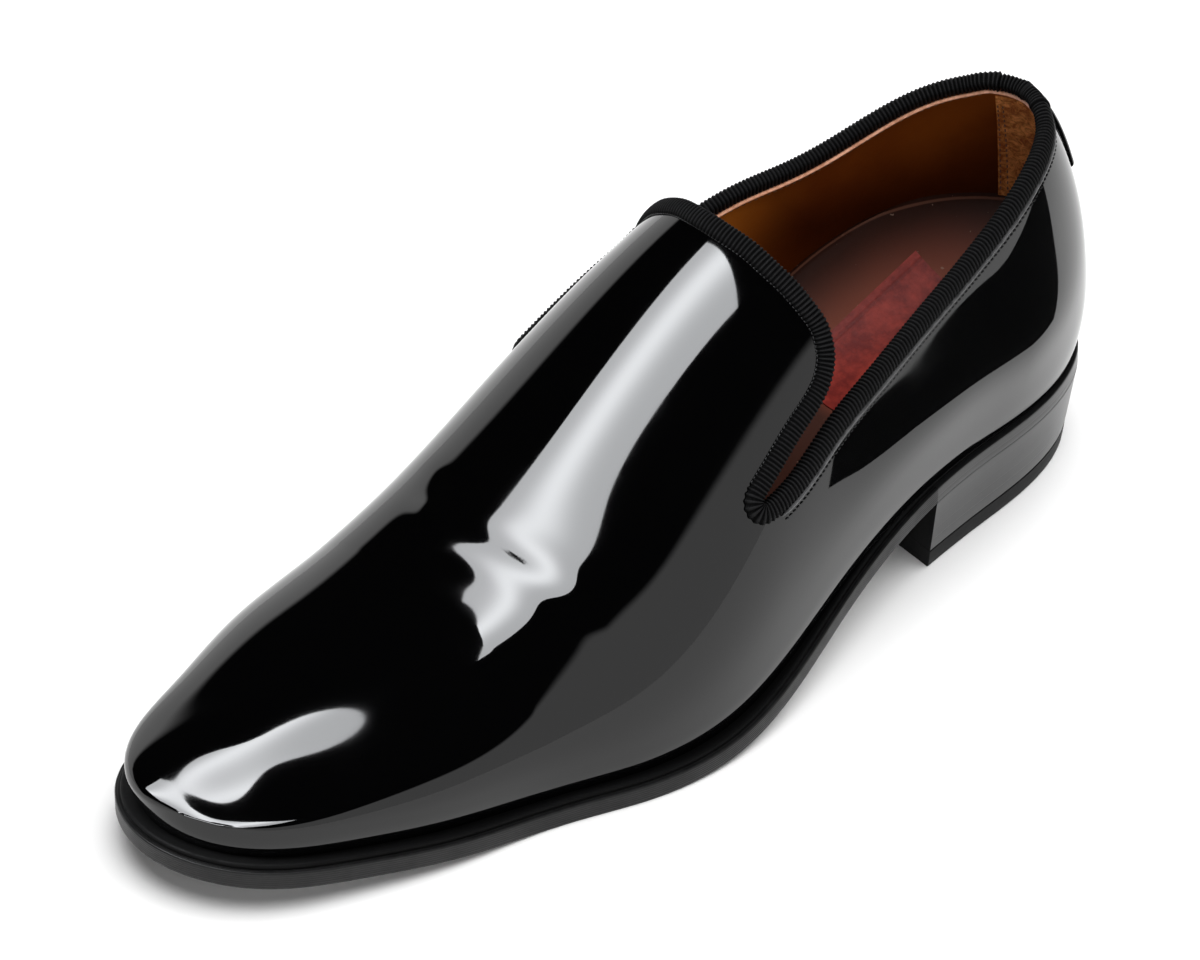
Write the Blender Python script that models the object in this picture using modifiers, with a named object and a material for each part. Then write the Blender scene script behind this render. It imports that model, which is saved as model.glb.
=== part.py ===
"""Patent slip-on dress shoe, left foot, standing on its heel and ball.

The frame is Z up, with the toe towards -Y, the outer (lateral) side towards +X
and the origin under the middle of the shoe's box. All the pieces are worked out
from one last: a table of sections along the foot and a smooth form around them.
Lengths below are in millimetres, and s runs from the back of the heel to the toe.
"""

import bmesh
import bpy
import numpy as np

MM = 0.001

# ------------------------------------------------------------------ driving sizes
LAST_LENGTH = 298.0        # widest outline, heel to toe
BALL_WIDTH = 102.0         # widest part
INSTEP = 75.0              # crown over the widest line at the instep
HEEL_HEIGHT = 22.0         # underside of the outsole over the floor at the heel
TOE_SPRING = 8.5           # and at the tip of the toe
TOE_START = 240.5          # where the toe begins to close
HEEL_START = 55.0          # where the heel begins to close
ROUND_ACROSS = 1.9         # exponents of the form: across, up, toe and heel
ROUND_UP = 2.4
ROUND_TOE = 2.75
ROUND_HEEL = 2.6
TUCK = 1.6                 # how far the upper draws in under its widest line
WALL = 2.0                 # upper with its lining
GAP = 0.3                  # between neighbouring pieces

OUTSOLE = 4.9              # thickness
WELT = 1.1
WELT_IN = 1.5              # welt edge inside the outsole edge
WELT_WIDTH = 13.0
INSOLE = 2.6               # thickness of the sock ahead of the footbed
HEEL_LENGTH = 78.5
HEEL_TAPER = 0.09          # share by which the heel narrows to the floor
TOP_LIFT = 5.5

BINDING = 5.0              # visible width of the ribbon on the edge
BINDING_PROUD = 0.7        # it stands this far off the upper
STRIP_WIDTH, STRIP_HEIGHT, STRIP_THICK = 17.0, 19.0, 1.1

FRAME_X, FRAME_S = 1.88, 150.73   # middle of the box, on the last's own axes

# One row for each section, as shares of the driving sizes: place along the foot of
# the length, width of the ball width, crown over the widest line of the instep,
# underside of the outsole of the heel height and of the toe spring. Then in
# millimetres: middle of the section, reach of the outsole past the widest outline,
# height of the widest line over the feather edge, and lean of the crown inwards.
SHARE_COLUMNS = ("place", "width", "crown", "heel", "spring", "middle", "reach", "girth", "lean")
SHARES = (
    (0.000, 0.56, 0.98, 1.00, 0.00, 0.0, -1.5, 20.0, -1.5),     # back of the heel
    (0.135, 0.59, 0.95, 1.00, 0.00, 0.0, -0.5, 20.0, -1.5),     # heel
    (0.270, 0.71, 0.97, 1.00, 0.00, -0.5, 0.0, 17.0, -2.0),     # heel breast
    (0.400, 0.86, 1.00, 0.65, 0.00, 0.5, 1.0, 13.0, -3.0),      # waist and instep
    (0.540, 1.00, 0.85, 0.10, 0.00, 2.0, 2.5, 10.0, -4.5),      # behind the ball
    (0.640, 0.98, 0.59, 0.00, 0.00, 0.5, 2.5, 8.5, -5.0),       # ball
    (0.720, 0.90, 0.42, 0.00, 0.00, -3.0, 2.5, 8.0, -4.5),      # front of the ball
    (0.805, 0.82, 0.30, 0.00, 0.25, -4.0, 3.0, 8.0, -4.0),      # toes
    (0.890, 0.70, 0.18, 0.00, 0.60, -3.5, 3.0, 8.0, -3.0),      # toe
    (1.000, 0.72, 0.06, 0.00, 1.00, -5.0, 3.5, 8.0, -2.0),      # tip
)
SECTION_COLUMNS = ("s", "middle", "half", "crown", "under", "reach", "girth", "lean")
SECTIONS = tuple(
    (place * LAST_LENGTH, middle, width * BALL_WIDTH / 2, crown * INSTEP,
     heel * HEEL_HEIGHT + spring * TOE_SPRING, reach, girth, lean)
    for place, width, crown, heel, spring, middle, reach, girth, lean in SHARES)
# Back of the heel: height over the feather edge, and how far forward it stands.
BACK_COLUMNS = ("height", "forward")
BACK = ((0, 2.0), (12, 0.0), (26, 0.5), (40, 2.0), (54, 3.5), (70, 5.0), (90, 8.0))
# Edge of the front flap over the instep: distance from the crown line, and s.
FLAP_COLUMNS = ("off_crown", "s")
FLAP = ((0, 119.0), (7, 118.5), (12, 117.5), (18, 116.5), (23, 115.0), (28, 113.5), (32, 112.0))
# Edge of the flap down its side to the notch: s, and height on the outer and inner side.
FLAP_SIDE_COLUMNS = ("s", "outer", "inner")
FLAP_SIDE = ((112.0, 86.5, 88.5), (116.0, 80.0, 83.0), (121.0, 76.0, 79.5),
             (129.0, 72.0, 75.5), (136.0, 68.0, 71.5), (146.5, 61.5, 64.5))
# Edge of the quarters from the notch to the back: s, and height on each side.
QUARTER_COLUMNS = ("s", "outer", "inner")
QUARTER = ((146.5, 61.5, 64.5), (138.0, 63.5, 67.5), (120.0, 71.0, 75.5), (103.0, 76.0, 81.5),
           (85.0, 81.0, 86.0), (68.0, 85.5, 87.0), (48.0, 92.0, 92.0), (32.0, 97.5, 97.5), (22.0, 100.0, 100.0))
BACK_TOP = 102.0
# Top of the footbed inside: s, and height over the floor. It is thick under the
# heel and thins out to the sock's own thickness at the ball.
FOOTBED_COLUMNS = ("s", "top")
FOOTBED = ((0.0, 56.0), (22.0, 56.0), (40.0, 51.0), (60.0, 43.5), (82.0, 36.0), (104.0, 30.0))


# ------------------------------------------------------------------ the last
def curve_through(xs, ys):
    """Natural cubic through the points, straight beyond its ends."""
    xs, ys = np.asarray(xs, float), np.asarray(ys, float)
    n, h = len(xs), np.diff(xs)
    a, r = np.zeros((n, n)), np.zeros(n)
    a[0, 0] = a[-1, -1] = 1
    for i in range(1, n - 1):
        a[i, i - 1:i + 2] = h[i - 1], 2 * (h[i - 1] + h[i]), h[i]
        r[i] = 6 * ((ys[i + 1] - ys[i]) / h[i] - (ys[i] - ys[i - 1]) / h[i - 1])
    m = np.linalg.solve(a, r)
    slope0 = (ys[1] - ys[0]) / h[0] - h[0] * m[1] / 6
    slope1 = (ys[-1] - ys[-2]) / h[-1] + h[-1] * m[-2] / 6

    def at(x):
        x = np.asarray(x, float)
        i = np.clip(np.searchsorted(xs, x) - 1, 0, n - 2)
        p, q, w = xs[i + 1] - x, x - xs[i], h[i]
        v = (m[i] * p**3 + m[i + 1] * q**3) / (6 * w) + (ys[i] / w - m[i] * w / 6) * p + (ys[i + 1] / w - m[i + 1] * w / 6) * q
        v = np.where(x < xs[0], ys[0] + slope0 * (x - xs[0]), v)
        return np.where(x > xs[-1], ys[-1] + slope1 * (x - xs[-1]), v)

    return at


def column(rows, names, name):
    return [row[names.index(name)] for row in rows]


def along(name):
    return curve_through(column(SECTIONS, SECTION_COLUMNS, "s"), column(SECTIONS, SECTION_COLUMNS, name))


middle, half, crown, under_free, reach, girth, lean = (along(c) for c in SECTION_COLUMNS[1:])
back_forward = curve_through(*zip(*BACK))


def under(s):
    """Underside of the outsole: it lies on the floor at the ball."""
    return np.maximum(under_free(s), 0.0)


FEATHER = OUTSOLE + GAP + WELT + GAP


def feather(s):
    """Height of the upper's lower edge."""
    return under(s) + FEATHER


def form(p):
    """Below 0 inside the last, 0 on its surface. p is x, s, z."""
    x, s, z = p[..., 0], p[..., 1], p[..., 2]
    at = np.clip(s, -20, LAST_LENGTH + 20)
    height, wide = z - feather(at), girth(at)
    rise = np.clip((height - wide) / crown(at), 0, None)
    tuck = TUCK * np.clip((wide - height) / wide, 0, None) ** 3
    toe = np.clip((s - TOE_START) / (LAST_LENGTH - tuck - TOE_START), 0, None)
    heel = np.clip((HEEL_START - s) / (HEEL_START - back_forward(np.clip(height, -5, 95))), 0, None)
    across = (x - middle(at) - lean(at) * rise**2) / (half(at) - tuck)
    return np.abs(across) ** ROUND_ACROSS + rise**ROUND_UP + toe**ROUND_TOE + heel**ROUND_HEEL - 1


def normal(p):
    e = 0.02
    g = np.stack([form(p + e * d) - form(p - e * d) for d in np.eye(3)], -1)
    return g / (np.linalg.norm(g, axis=-1, keepdims=True) + 1e-12)


def meet(origin, direction, far=170.0):
    """Where rays from inside the last leave it."""
    origin, direction = np.broadcast_arrays(np.asarray(origin, float), np.asarray(direction, float))
    near, out = np.zeros(origin.shape[:-1]), np.full(origin.shape[:-1], far)
    for _ in range(46):
        t = (near + out) / 2
        inside = form(origin + t[..., None] * direction) < 0
        near, out = np.where(inside, t, near), np.where(inside, out, t)
    return origin + near[..., None] * direction


def settle(p):
    """Moves points that lie near the last's surface onto it."""
    for _ in range(6):
        e = 0.02
        g = np.stack([(form(p + e * d) - form(p - e * d)) / (2 * e) for d in np.eye(3)], -1)
        p = p - (form(p) / ((g**2).sum(-1) + 1e-12))[..., None] * g
    return p


# ------------------------------------------------------------------ mesh helpers
def clear_scene():
    for obj in list(bpy.data.objects):
        bpy.data.objects.remove(obj, do_unlink=True)


def to_world(p):
    """From x, s, z in millimetres to the part's own frame in metres."""
    p = np.asarray(p, float)
    return np.stack([p[..., 0] - FRAME_X, FRAME_S - p[..., 1], p[..., 2]], -1) * MM


def material(name, colour, roughness, coat=0.0):
    made = bpy.data.materials.new(name)
    made.use_nodes = True
    shader = made.node_tree.nodes["Principled BSDF"]
    shader.inputs["Base Color"].default_value = (*colour, 1.0)
    shader.inputs["Roughness"].default_value = roughness
    shader.inputs["Metallic"].default_value = 0.0
    shader.inputs["Coat Weight"].default_value = coat
    return made


def add_object(name, points, faces, finish, collection):
    """A mesh object from points in millimetres, with its faces turned outwards."""
    mesh = bpy.data.meshes.new(name)
    mesh.from_pydata([tuple(p) for p in to_world(points)], [], [tuple(int(i) for i in f) for f in faces])
    tidy = bmesh.new()
    tidy.from_mesh(mesh)
    bmesh.ops.remove_doubles(tidy, verts=tidy.verts, dist=1e-6)
    bmesh.ops.dissolve_degenerate(tidy, dist=1e-7, edges=tidy.edges)
    bmesh.ops.recalc_face_normals(tidy, faces=tidy.faces)
    tidy.to_mesh(mesh)
    tidy.free()
    mesh.shade_smooth()
    mesh.set_sharp_from_angle(angle=0.7)
    obj = bpy.data.objects.new(name, mesh)
    if finish:
        mesh.materials.append(finish)
    collection.objects.link(obj)
    return obj


def grid_faces(rows, columns, close_rows=False, close_columns=False):
    faces = []
    for i in range(rows if close_rows else rows - 1):
        for j in range(columns if close_columns else columns - 1):
            a, b = i, (i + 1) % rows
            c, d = j, (j + 1) % columns
            faces.append((a * columns + c, b * columns + c, b * columns + d, a * columns + d))
    return faces


# ------------------------------------------------------------------ outlines and plates
def plan(count, extra):
    """Closed outline in plan, outer side first, moved out by extra(s): x and s in pairs
    (outer, inner) for each step from heel to toe."""
    u = np.linspace(0, np.pi, count)
    s = LAST_LENGTH * (1 - np.cos(u)) / 2
    toe = np.clip((s - TOE_START) / (LAST_LENGTH - TOE_START), 0, 1)
    heel = np.clip((HEEL_START - s) / HEEL_START, 0, 1)
    w = half(s) * np.clip(1 - toe**ROUND_TOE - heel**ROUND_HEEL, 0, 1) ** (1 / ROUND_ACROSS)
    ring = np.concatenate([np.c_[middle(s) + w, s], np.c_[middle(s) - w, s][-2:0:-1]])
    step = np.roll(ring, -1, 0) - np.roll(ring, 1, 0)
    out = np.c_[step[:, 1], -step[:, 0]]
    out /= np.linalg.norm(out, axis=1)[:, None]
    ring = ring + out * extra(ring[:, 1])[:, None]
    outer = ring[:count]
    inner = np.concatenate([ring[:1], ring[count:][::-1], ring[count - 1:count]])
    return outer, inner


def plate(name, levels, count, finish, collection, part=None):
    """Solid through outlines one above the other. Each level is an outline offset and a height,
    both functions of s. part keeps the steps before a cross line and moves each level's points."""
    layers = []
    for extra, height in levels:
        outer, inner = plan(count, extra)
        layers.append([np.c_[e, height(e[:, 1])] for e in (outer, inner)])
    layers = np.array(layers)                      # level, side, step, xyz
    if part:
        layers = part(layers)
    levels_n, _, steps, _ = layers.shape
    points = layers.reshape(-1, 3)

    def at(level, side, step):
        return (level * 2 + side) * steps + step

    faces = []
    for i in range(steps - 1):
        for k in range(levels_n - 1):
            for side in (0, 1):
                faces.append((at(k, side, i), at(k, side, i + 1), at(k + 1, side, i + 1), at(k + 1, side, i)))
        for k in (0, levels_n - 1):
            faces.append((at(k, 0, i), at(k, 0, i + 1), at(k, 1, i + 1), at(k, 1, i)))
    if part:                                       # flat front of a part that stops at a cross line
        for k in range(levels_n - 1):
            faces.append((at(k, 0, steps - 1), at(k + 1, 0, steps - 1), at(k + 1, 1, steps - 1), at(k, 1, steps - 1)))
    return add_object(name, points, faces, finish, collection)


def outsole(finish, collection):
    edge = ((-0.7, 0.0), (0.0, 0.9), (0.0, OUTSOLE - 1.2), (-0.9, OUTSOLE))
    levels = [(lambda s, e=e: reach(s) + e, lambda s, t=t: under(s) + t) for e, t in edge]
    return plate("outsole", levels, 58, finish, collection)


def welt(finish, collection):
    """Thin strip all round between the outsole and the upper."""
    low = OUTSOLE + GAP
    section = ((-WELT_IN, low), (-WELT_IN - 0.3, low + WELT), (-WELT_WIDTH, low + WELT), (-WELT_WIDTH, low))
    rings = []
    for extra, height in section:
        outer, inner = plan(54, lambda s, e=extra: np.maximum(reach(s), -0.5) + e)
        loop = np.concatenate([outer, inner[-2:0:-1]])
        rings.append(np.c_[loop, under(loop[:, 1]) + height])
    rings = np.array(rings)
    return add_object("welt", rings.reshape(-1, 3), grid_faces(len(section), rings.shape[1], True, True), finish, collection)


def insole(finish, collection):
    """Footbed and sock inside the upper, thick under the heel."""
    inset = -(TUCK + WALL + 0.9)
    rise = curve_through(*zip(*FOOTBED))

    def top(s):
        thin = feather(s) + GAP + INSOLE
        swell = rise(s) - thin
        return thin + np.where(s < 150, (swell + np.sqrt(swell**2 + 4.0)) / 2, 0) * np.clip((150 - s) / 30, 0, 1)

    levels = [
        (lambda s: inset + 0 * s, lambda s: feather(s) + GAP),
        (lambda s: inset + 0 * s, top),
    ]
    return plate("insole", levels, 46, finish, collection)


def heel_block(name, top, bottom, finish, collection):
    """Part of the heel between two heights, each a function of s; it narrows to the floor and
    its front face is slightly hollow."""
    full = under(40.0)

    def cut(layers):
        made = []
        for layer in layers:
            sides = []
            for edge in layer:
                keep = edge[edge[:, 1] < HEEL_LENGTH - 1.5]
                i = len(keep)
                f = (HEEL_LENGTH - edge[i - 1, 1]) / (edge[i, 1] - edge[i - 1, 1])
                sides.append(np.vstack([keep, edge[i - 1] + f * (edge[i] - edge[i - 1])]))
            made.append(sides)
        made = np.array(made)
        made[:, :, -1, 1] = HEEL_LENGTH
        drop = np.clip(1 - made[..., 2] / full, 0, 1)
        pivot_x, pivot_s = float(middle(40.0)), 40.0
        made[..., 0] = pivot_x + (made[..., 0] - pivot_x) * (1 - HEEL_TAPER * drop)
        behind = made[..., 1] < pivot_s
        made[..., 1] = np.where(behind, pivot_s + (made[..., 1] - pivot_s) * (1 - HEEL_TAPER * drop),
                                made[..., 1] - 1.0 * drop * (made[..., 1] - pivot_s) / (HEEL_LENGTH - pivot_s))
        return made

    edge = lambda s: reach(s) - 0.25
    return plate(name, [(edge, bottom), (edge, top)], 70, finish, collection, cut)


# ------------------------------------------------------------------ the upper
def ribs(toe_steps, body_steps, heel_steps, side_points):
    """Ribs over the whole last, each from the outer feather edge over the crown to the inner one.
    Along the body they are upright sections; round the toe and the heel each half of a rib turns
    about an upright axis until both halves meet in the middle."""
    turn_toe = np.linspace(np.pi / 2, 0, toe_steps, endpoint=False)
    turn_heel = np.linspace(0, np.pi / 2, heel_steps + 1)[1:]
    centre_s = np.concatenate([0 * turn_toe + TOE_START, np.linspace(TOE_START, HEEL_START, body_steps), 0 * turn_heel + HEEL_START])
    heading = np.concatenate([turn_toe, np.zeros(body_steps), -turn_heel])
    centre = np.stack([middle(centre_s), centre_s, feather(centre_s)], -1)[:, None]
    halves = []
    for side in (1.0, -1.0):
        plan_x, plan_s = side * np.cos(heading)[:, None], np.sin(heading)[:, None]

        def hit(rise):
            return meet(centre, np.stack([np.cos(rise) * plan_x, np.cos(rise) * plan_s, np.sin(rise)], -1))

        low, high = np.full((len(heading), 1), -0.5), np.full((len(heading), 1), 0.5)
        for _ in range(40):                        # rise at which each half meets the feather edge
            mid = (low + high) / 2
            p = hit(mid)
            above = p[..., 2] > feather(p[..., 1])
            low, high = np.where(above, low, mid), np.where(above, mid, high)
        dense = hit(high + (np.pi / 2 - high) * np.linspace(0, 1, 160)[None, :])
        run = np.linalg.norm(np.diff(dense, axis=1), axis=-1)
        t = np.concatenate([np.zeros((len(run), 1)), np.cumsum(run, 1)], 1)
        share = np.linspace(0, 1, side_points) ** 1.15      # a little closer together low down
        halves.append(np.array([[np.interp(share * t[i, -1], t[i], dense[i, :, k]) for k in range(3)] for i in range(len(t))]).transpose(0, 2, 1))
    outer, inner = halves
    return np.concatenate([settle(outer), settle(inner)[:, -2::-1]], 1)


def smooth_ring(p, spacing, soft):
    """Closed line through p, evenly spaced, softened and laid back on the last."""
    def even(q, n):
        q = np.vstack([q, q[:1]])
        t = np.concatenate([[0], np.cumsum(np.linalg.norm(np.diff(q, axis=0), axis=1))])
        at = np.linspace(0, t[-1], n, endpoint=False)
        return np.stack([np.interp(at, t, q[:, k]) for k in range(3)], -1)

    length = np.linalg.norm(np.diff(np.vstack([p, p[:1]]), axis=0), axis=1).sum()
    n = int(length / spacing)
    q = even(p, n)
    width = soft / spacing
    k = np.arange(-int(4 * width), int(4 * width) + 1)
    weight = np.exp(-(k / width) ** 2 / 2)
    weight /= weight.sum()
    q = sum(w * np.roll(q, -i, 0) for i, w in zip(k, weight))
    return even(settle(q), n)


def edge_line():
    """Middle of the binding on the upper's surface, all the way round the opening: over the flap
    to the outer notch, along the outer quarter to the back, and home by the inner side."""
    inset = BINDING / 2
    flap_s = curve_through(*zip(*FLAP))

    def side(which):
        sign = 1.0 if which == "outer" else -1.0
        off = np.linspace(0, 31.5, 22)
        crown_x = float(middle(118.0) + lean(118.0))
        start = np.stack([crown_x + sign * off, flap_s(off) + inset * 0.88, np.full(22, 55.0)], -1)
        top = meet(start, np.array([0, 0, 1.0]))
        leg = []
        for rows, names in ((FLAP_SIDE, FLAP_SIDE_COLUMNS), (QUARTER, QUARTER_COLUMNS)):
            s, z = np.array(column(rows, names, "s")), np.array(column(rows, names, which))
            t = np.concatenate([[0], np.cumsum(np.hypot(np.diff(s), np.diff(z)))])
            at = np.linspace(0, t[-1], 60)
            leg.append(np.c_[curve_through(t, s)(at), curve_through(t, z)(at)])
        lines, turns = [], []
        for line, hand in zip(leg, (1.0, 1.0)):
            d = np.gradient(line, axis=0)
            d /= np.linalg.norm(d, axis=1)[:, None]
            turns.append(hand * np.c_[-d[:, 1], d[:, 0]])
            lines.append(line)
        first, last = turns[0][-1], turns[1][0]
        a0, a1 = np.arctan2(first[1], first[0]), np.arctan2(last[1], last[0])
        a1 = a1 - 2 * np.pi if a1 > a0 else a1
        sweep = np.linspace(a0, a1, 11)[1:-1]
        tip = lines[0][-1] + inset * np.c_[np.cos(sweep), np.sin(sweep)]
        flat = np.concatenate([lines[0][3:] + inset * turns[0][3:], tip, lines[1] + inset * turns[1]])
        start = np.stack([middle(flat[:, 0]), flat[:, 0], flat[:, 1]], -1)
        return np.concatenate([top, meet(start, np.array([sign, 0, 0]))])

    outer, inner = side("outer"), side("inner")
    heights = np.full(9, BACK_TOP - inset)
    angle = np.radians(np.linspace(-56, 56, 9))
    hub = np.stack([np.full(9, float(middle(30.0))), np.full(9, 30.0), heights], -1)
    back = meet(hub, np.stack([-np.sin(angle), -np.cos(angle), 0 * angle], -1))
    back = back[back[:, 1] < 19.0]
    return smooth_ring(np.concatenate([outer, back, inner[:0:-1]]), 0.5, 1.6)


def edge_frames(line, count):
    """Points along the closed line, closer together where it bends, with the direction up to the
    edge and the direction out of the surface at each."""
    ahead = np.roll(line, -1, 0) - np.roll(line, 1, 0)
    ahead /= np.linalg.norm(ahead, axis=1)[:, None]
    bend = np.linalg.norm(np.roll(ahead, -4, 0) - np.roll(ahead, 4, 0), axis=1)
    bend = sum(np.roll(bend, k) for k in range(-6, 7)) / 13
    t = np.concatenate([[0], np.cumsum(1 + 9 * bend)])
    pick = np.searchsorted(t, np.linspace(0, t[-1], count, endpoint=False))
    p, d = line[pick % len(line)], ahead[pick % len(line)]
    out = normal(p)
    up = np.cross(d, out)
    up /= np.linalg.norm(up, axis=1)[:, None]
    return p, up, out


def swept(section, frames):
    p, up, out = frames
    rings = np.array([p + b * up + n * out for b, n in section])
    return rings.reshape(-1, 3), grid_faces(len(section), len(p), True, True)


def upper(line, finish, collection, cutters):
    grid = ribs(11, 24, 10, 15)
    rows, columns, _ = grid.shape
    shell = add_object("upper", grid.reshape(-1, 3), grid_faces(rows, columns), finish, collection)
    wall = shell.modifiers.new("wall", "SOLIDIFY")
    wall.thickness, wall.offset, wall.use_even_offset = WALL * MM, -1.0, True
    low = -BINDING / 2 - GAP
    knife = add_object("upper_edge", *swept(((low, -4.5), (low, 2.5), (low + 3.2, 2.5), (low + 3.2, -4.5)), edge_frames(line, 190)), None, cutters)
    knife.display_type, knife.hide_render = "WIRE", True
    cut = shell.modifiers.new("throat", "BOOLEAN")
    cut.operation, cut.solver, cut.object, cut.use_self = "DIFFERENCE", "EXACT", knife, True
    graph = bpy.context.evaluated_depsgraph_get()
    graph.update()
    made = bpy.data.meshes.new_from_object(shell.evaluated_get(graph))
    # the ring cut leaves the shoe and a cap over the throat: the lower one is the upper
    work = bmesh.new()
    work.from_mesh(made)
    left, islands = set(work.verts), []
    while left:
        todo, island = [left.pop()], set()
        while todo:
            v = todo.pop()
            island.add(v)
            for e in v.link_edges:
                other = e.other_vert(v)
                if other in left:
                    left.discard(other)
                    todo.append(other)
        islands.append(island)
    keep = min(islands, key=lambda isl: min(v.co.z for v in isl))
    bmesh.ops.delete(work, geom=[v for v in work.verts if v not in keep], context="VERTS")
    bmesh.ops.remove_doubles(work, verts=work.verts, dist=2e-5)
    bmesh.ops.dissolve_degenerate(work, dist=1e-6, edges=work.edges)
    work.to_mesh(made)
    work.free()
    made.name = "upper_shell"
    made.shade_smooth()
    made.set_sharp_from_angle(angle=0.7)
    shell.modifiers.clear()
    shell.data = made
    return shell


def binding(line, finish, collection):
    """Ribbon folded over the edge of the opening."""
    h, out, deep = BINDING / 2, BINDING_PROUD, -WALL - 0.6
    section = ((-h, deep + 0.5), (-h, out - 0.4), (-h + 0.5, out), (h - 1.1, out), (h - 0.25, out - 0.8),
               (h, (out + deep) / 2), (h - 0.25, deep + 0.8), (h - 1.1, deep), (-h + 0.5, deep))
    return add_object("binding", *swept(section, edge_frames(line, 170)), finish, collection)


def back_strip(finish, collection):
    """Small strip on the back of the heel, under the binding, standing proud of the upper."""
    across, down = 9, 6
    top = BACK_TOP - BINDING - 0.9
    faces_out = []
    for lift in (GAP, GAP + STRIP_THICK):
        z = np.linspace(top, top - STRIP_HEIGHT, down)[:, None] + np.zeros((down, across))
        x = np.linspace(-0.5, 0.5, across)[None, :] * STRIP_WIDTH
        p = meet(np.stack([np.full_like(z, 0.0) + x * 0.35, np.full_like(z, 30.0), z], -1),
                 np.stack([x * 0.65 / 24 + 0 * z, np.full_like(z, -1.0), 0 * z], -1))
        faces_out.append(p + lift * normal(p))
    inner_grid, outer_grid = faces_out
    n = across * down
    ring = [j for j in range(across)] + [i * across + across - 1 for i in range(1, down)]
    ring += [(down - 1) * across + j for j in range(across - 2, -1, -1)] + [i * across for i in range(down - 2, 0, -1)]
    faces = grid_faces(down, across) + [tuple(i + n for i in f) for f in grid_faces(down, across)]
    faces += [(ring[k], ring[(k + 1) % len(ring)], ring[(k + 1) % len(ring)] + n, ring[k] + n) for k in range(len(ring))]
    return add_object("back_strip", np.concatenate([inner_grid.reshape(-1, 3), outer_grid.reshape(-1, 3)]), faces, finish, collection)


# ------------------------------------------------------------------ the shoe
def main():
    clear_scene()
    shoe = bpy.data.collections.new("slip_on_shoe")
    cutters = bpy.data.collections.new("cutters")
    bpy.context.scene.collection.children.link(shoe)
    bpy.context.scene.collection.children.link(cutters)

    patent = material("patent_leather", (0.006, 0.006, 0.007), 0.12, 1.0)
    ribbon = material("grosgrain", (0.012, 0.012, 0.013), 0.8)
    edge = material("sole_leather", (0.022, 0.022, 0.024), 0.5)
    rand = material("welt_leather", (0.010, 0.010, 0.011), 0.35)
    stack = material("heel_leather", (0.025, 0.025, 0.027), 0.4)
    lift = material("heel_rubber", (0.012, 0.012, 0.013), 0.6)
    sock = material("sock_leather", (0.075, 0.038, 0.024), 0.6)

    outsole(edge, shoe)
    welt(rand, shoe)
    heel_block("heel_stack", lambda s: under(s) - GAP, lambda s: TOP_LIFT + GAP + 0 * s, stack, shoe)
    heel_block("top_lift", lambda s: TOP_LIFT + 0 * s, lambda s: 0 * s, lift, shoe)
    line = edge_line()
    upper(line, patent, shoe, cutters)
    binding(line, ribbon, shoe)
    back_strip(patent, shoe)
    insole(sock, shoe)

    root = bpy.data.objects.new("slip_on_shoe_root", None)
    shoe.objects.link(root)
    for obj in shoe.objects:
        if obj is not root:
            obj.parent = root


main()
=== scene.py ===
"""Looks of the patent slip-on dress shoe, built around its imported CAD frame.

The visible pieces follow the same last as the part: s runs from the back of the
heel to the toe, x to the outer side and z up, all in millimetres, and to_world
turns them into the frame's metres.
"""

import math

import bmesh
import bpy
import numpy as np
from mathutils import Matrix, Vector


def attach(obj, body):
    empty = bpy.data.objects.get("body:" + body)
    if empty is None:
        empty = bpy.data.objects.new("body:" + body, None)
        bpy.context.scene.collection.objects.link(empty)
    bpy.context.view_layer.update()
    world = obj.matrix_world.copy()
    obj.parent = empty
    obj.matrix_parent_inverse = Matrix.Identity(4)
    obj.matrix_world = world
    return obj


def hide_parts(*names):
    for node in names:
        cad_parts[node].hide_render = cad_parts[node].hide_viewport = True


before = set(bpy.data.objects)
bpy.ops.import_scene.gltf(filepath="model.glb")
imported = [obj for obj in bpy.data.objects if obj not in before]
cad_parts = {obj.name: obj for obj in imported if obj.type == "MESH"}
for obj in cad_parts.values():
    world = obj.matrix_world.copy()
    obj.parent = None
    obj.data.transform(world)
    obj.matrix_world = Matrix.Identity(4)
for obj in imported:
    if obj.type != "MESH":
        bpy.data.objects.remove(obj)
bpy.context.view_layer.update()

# ------------------------------------------------------------------ sizes of the shoe
LAST_LENGTH, TOE_START, HEEL_START = 298.0, 240.5, 55.0
BALL_WIDTH, INSTEP, HEEL_HEIGHT, TOE_SPRING = 102.0, 75.0, 22.0, 8.5
ROUND_ACROSS, ROUND_UP, ROUND_TOE, ROUND_HEEL = 1.9, 2.4, 2.75, 2.6
TUCK, WALL = 1.6, 1.9
FEATHER = 6.6
HEEL_LENGTH, HEEL_TAPER, TOP_LIFT = 78.5, 0.09, 5.5
BINDING = 5.2
FRAME_X, FRAME_S = 1.88, 150.73

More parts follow.
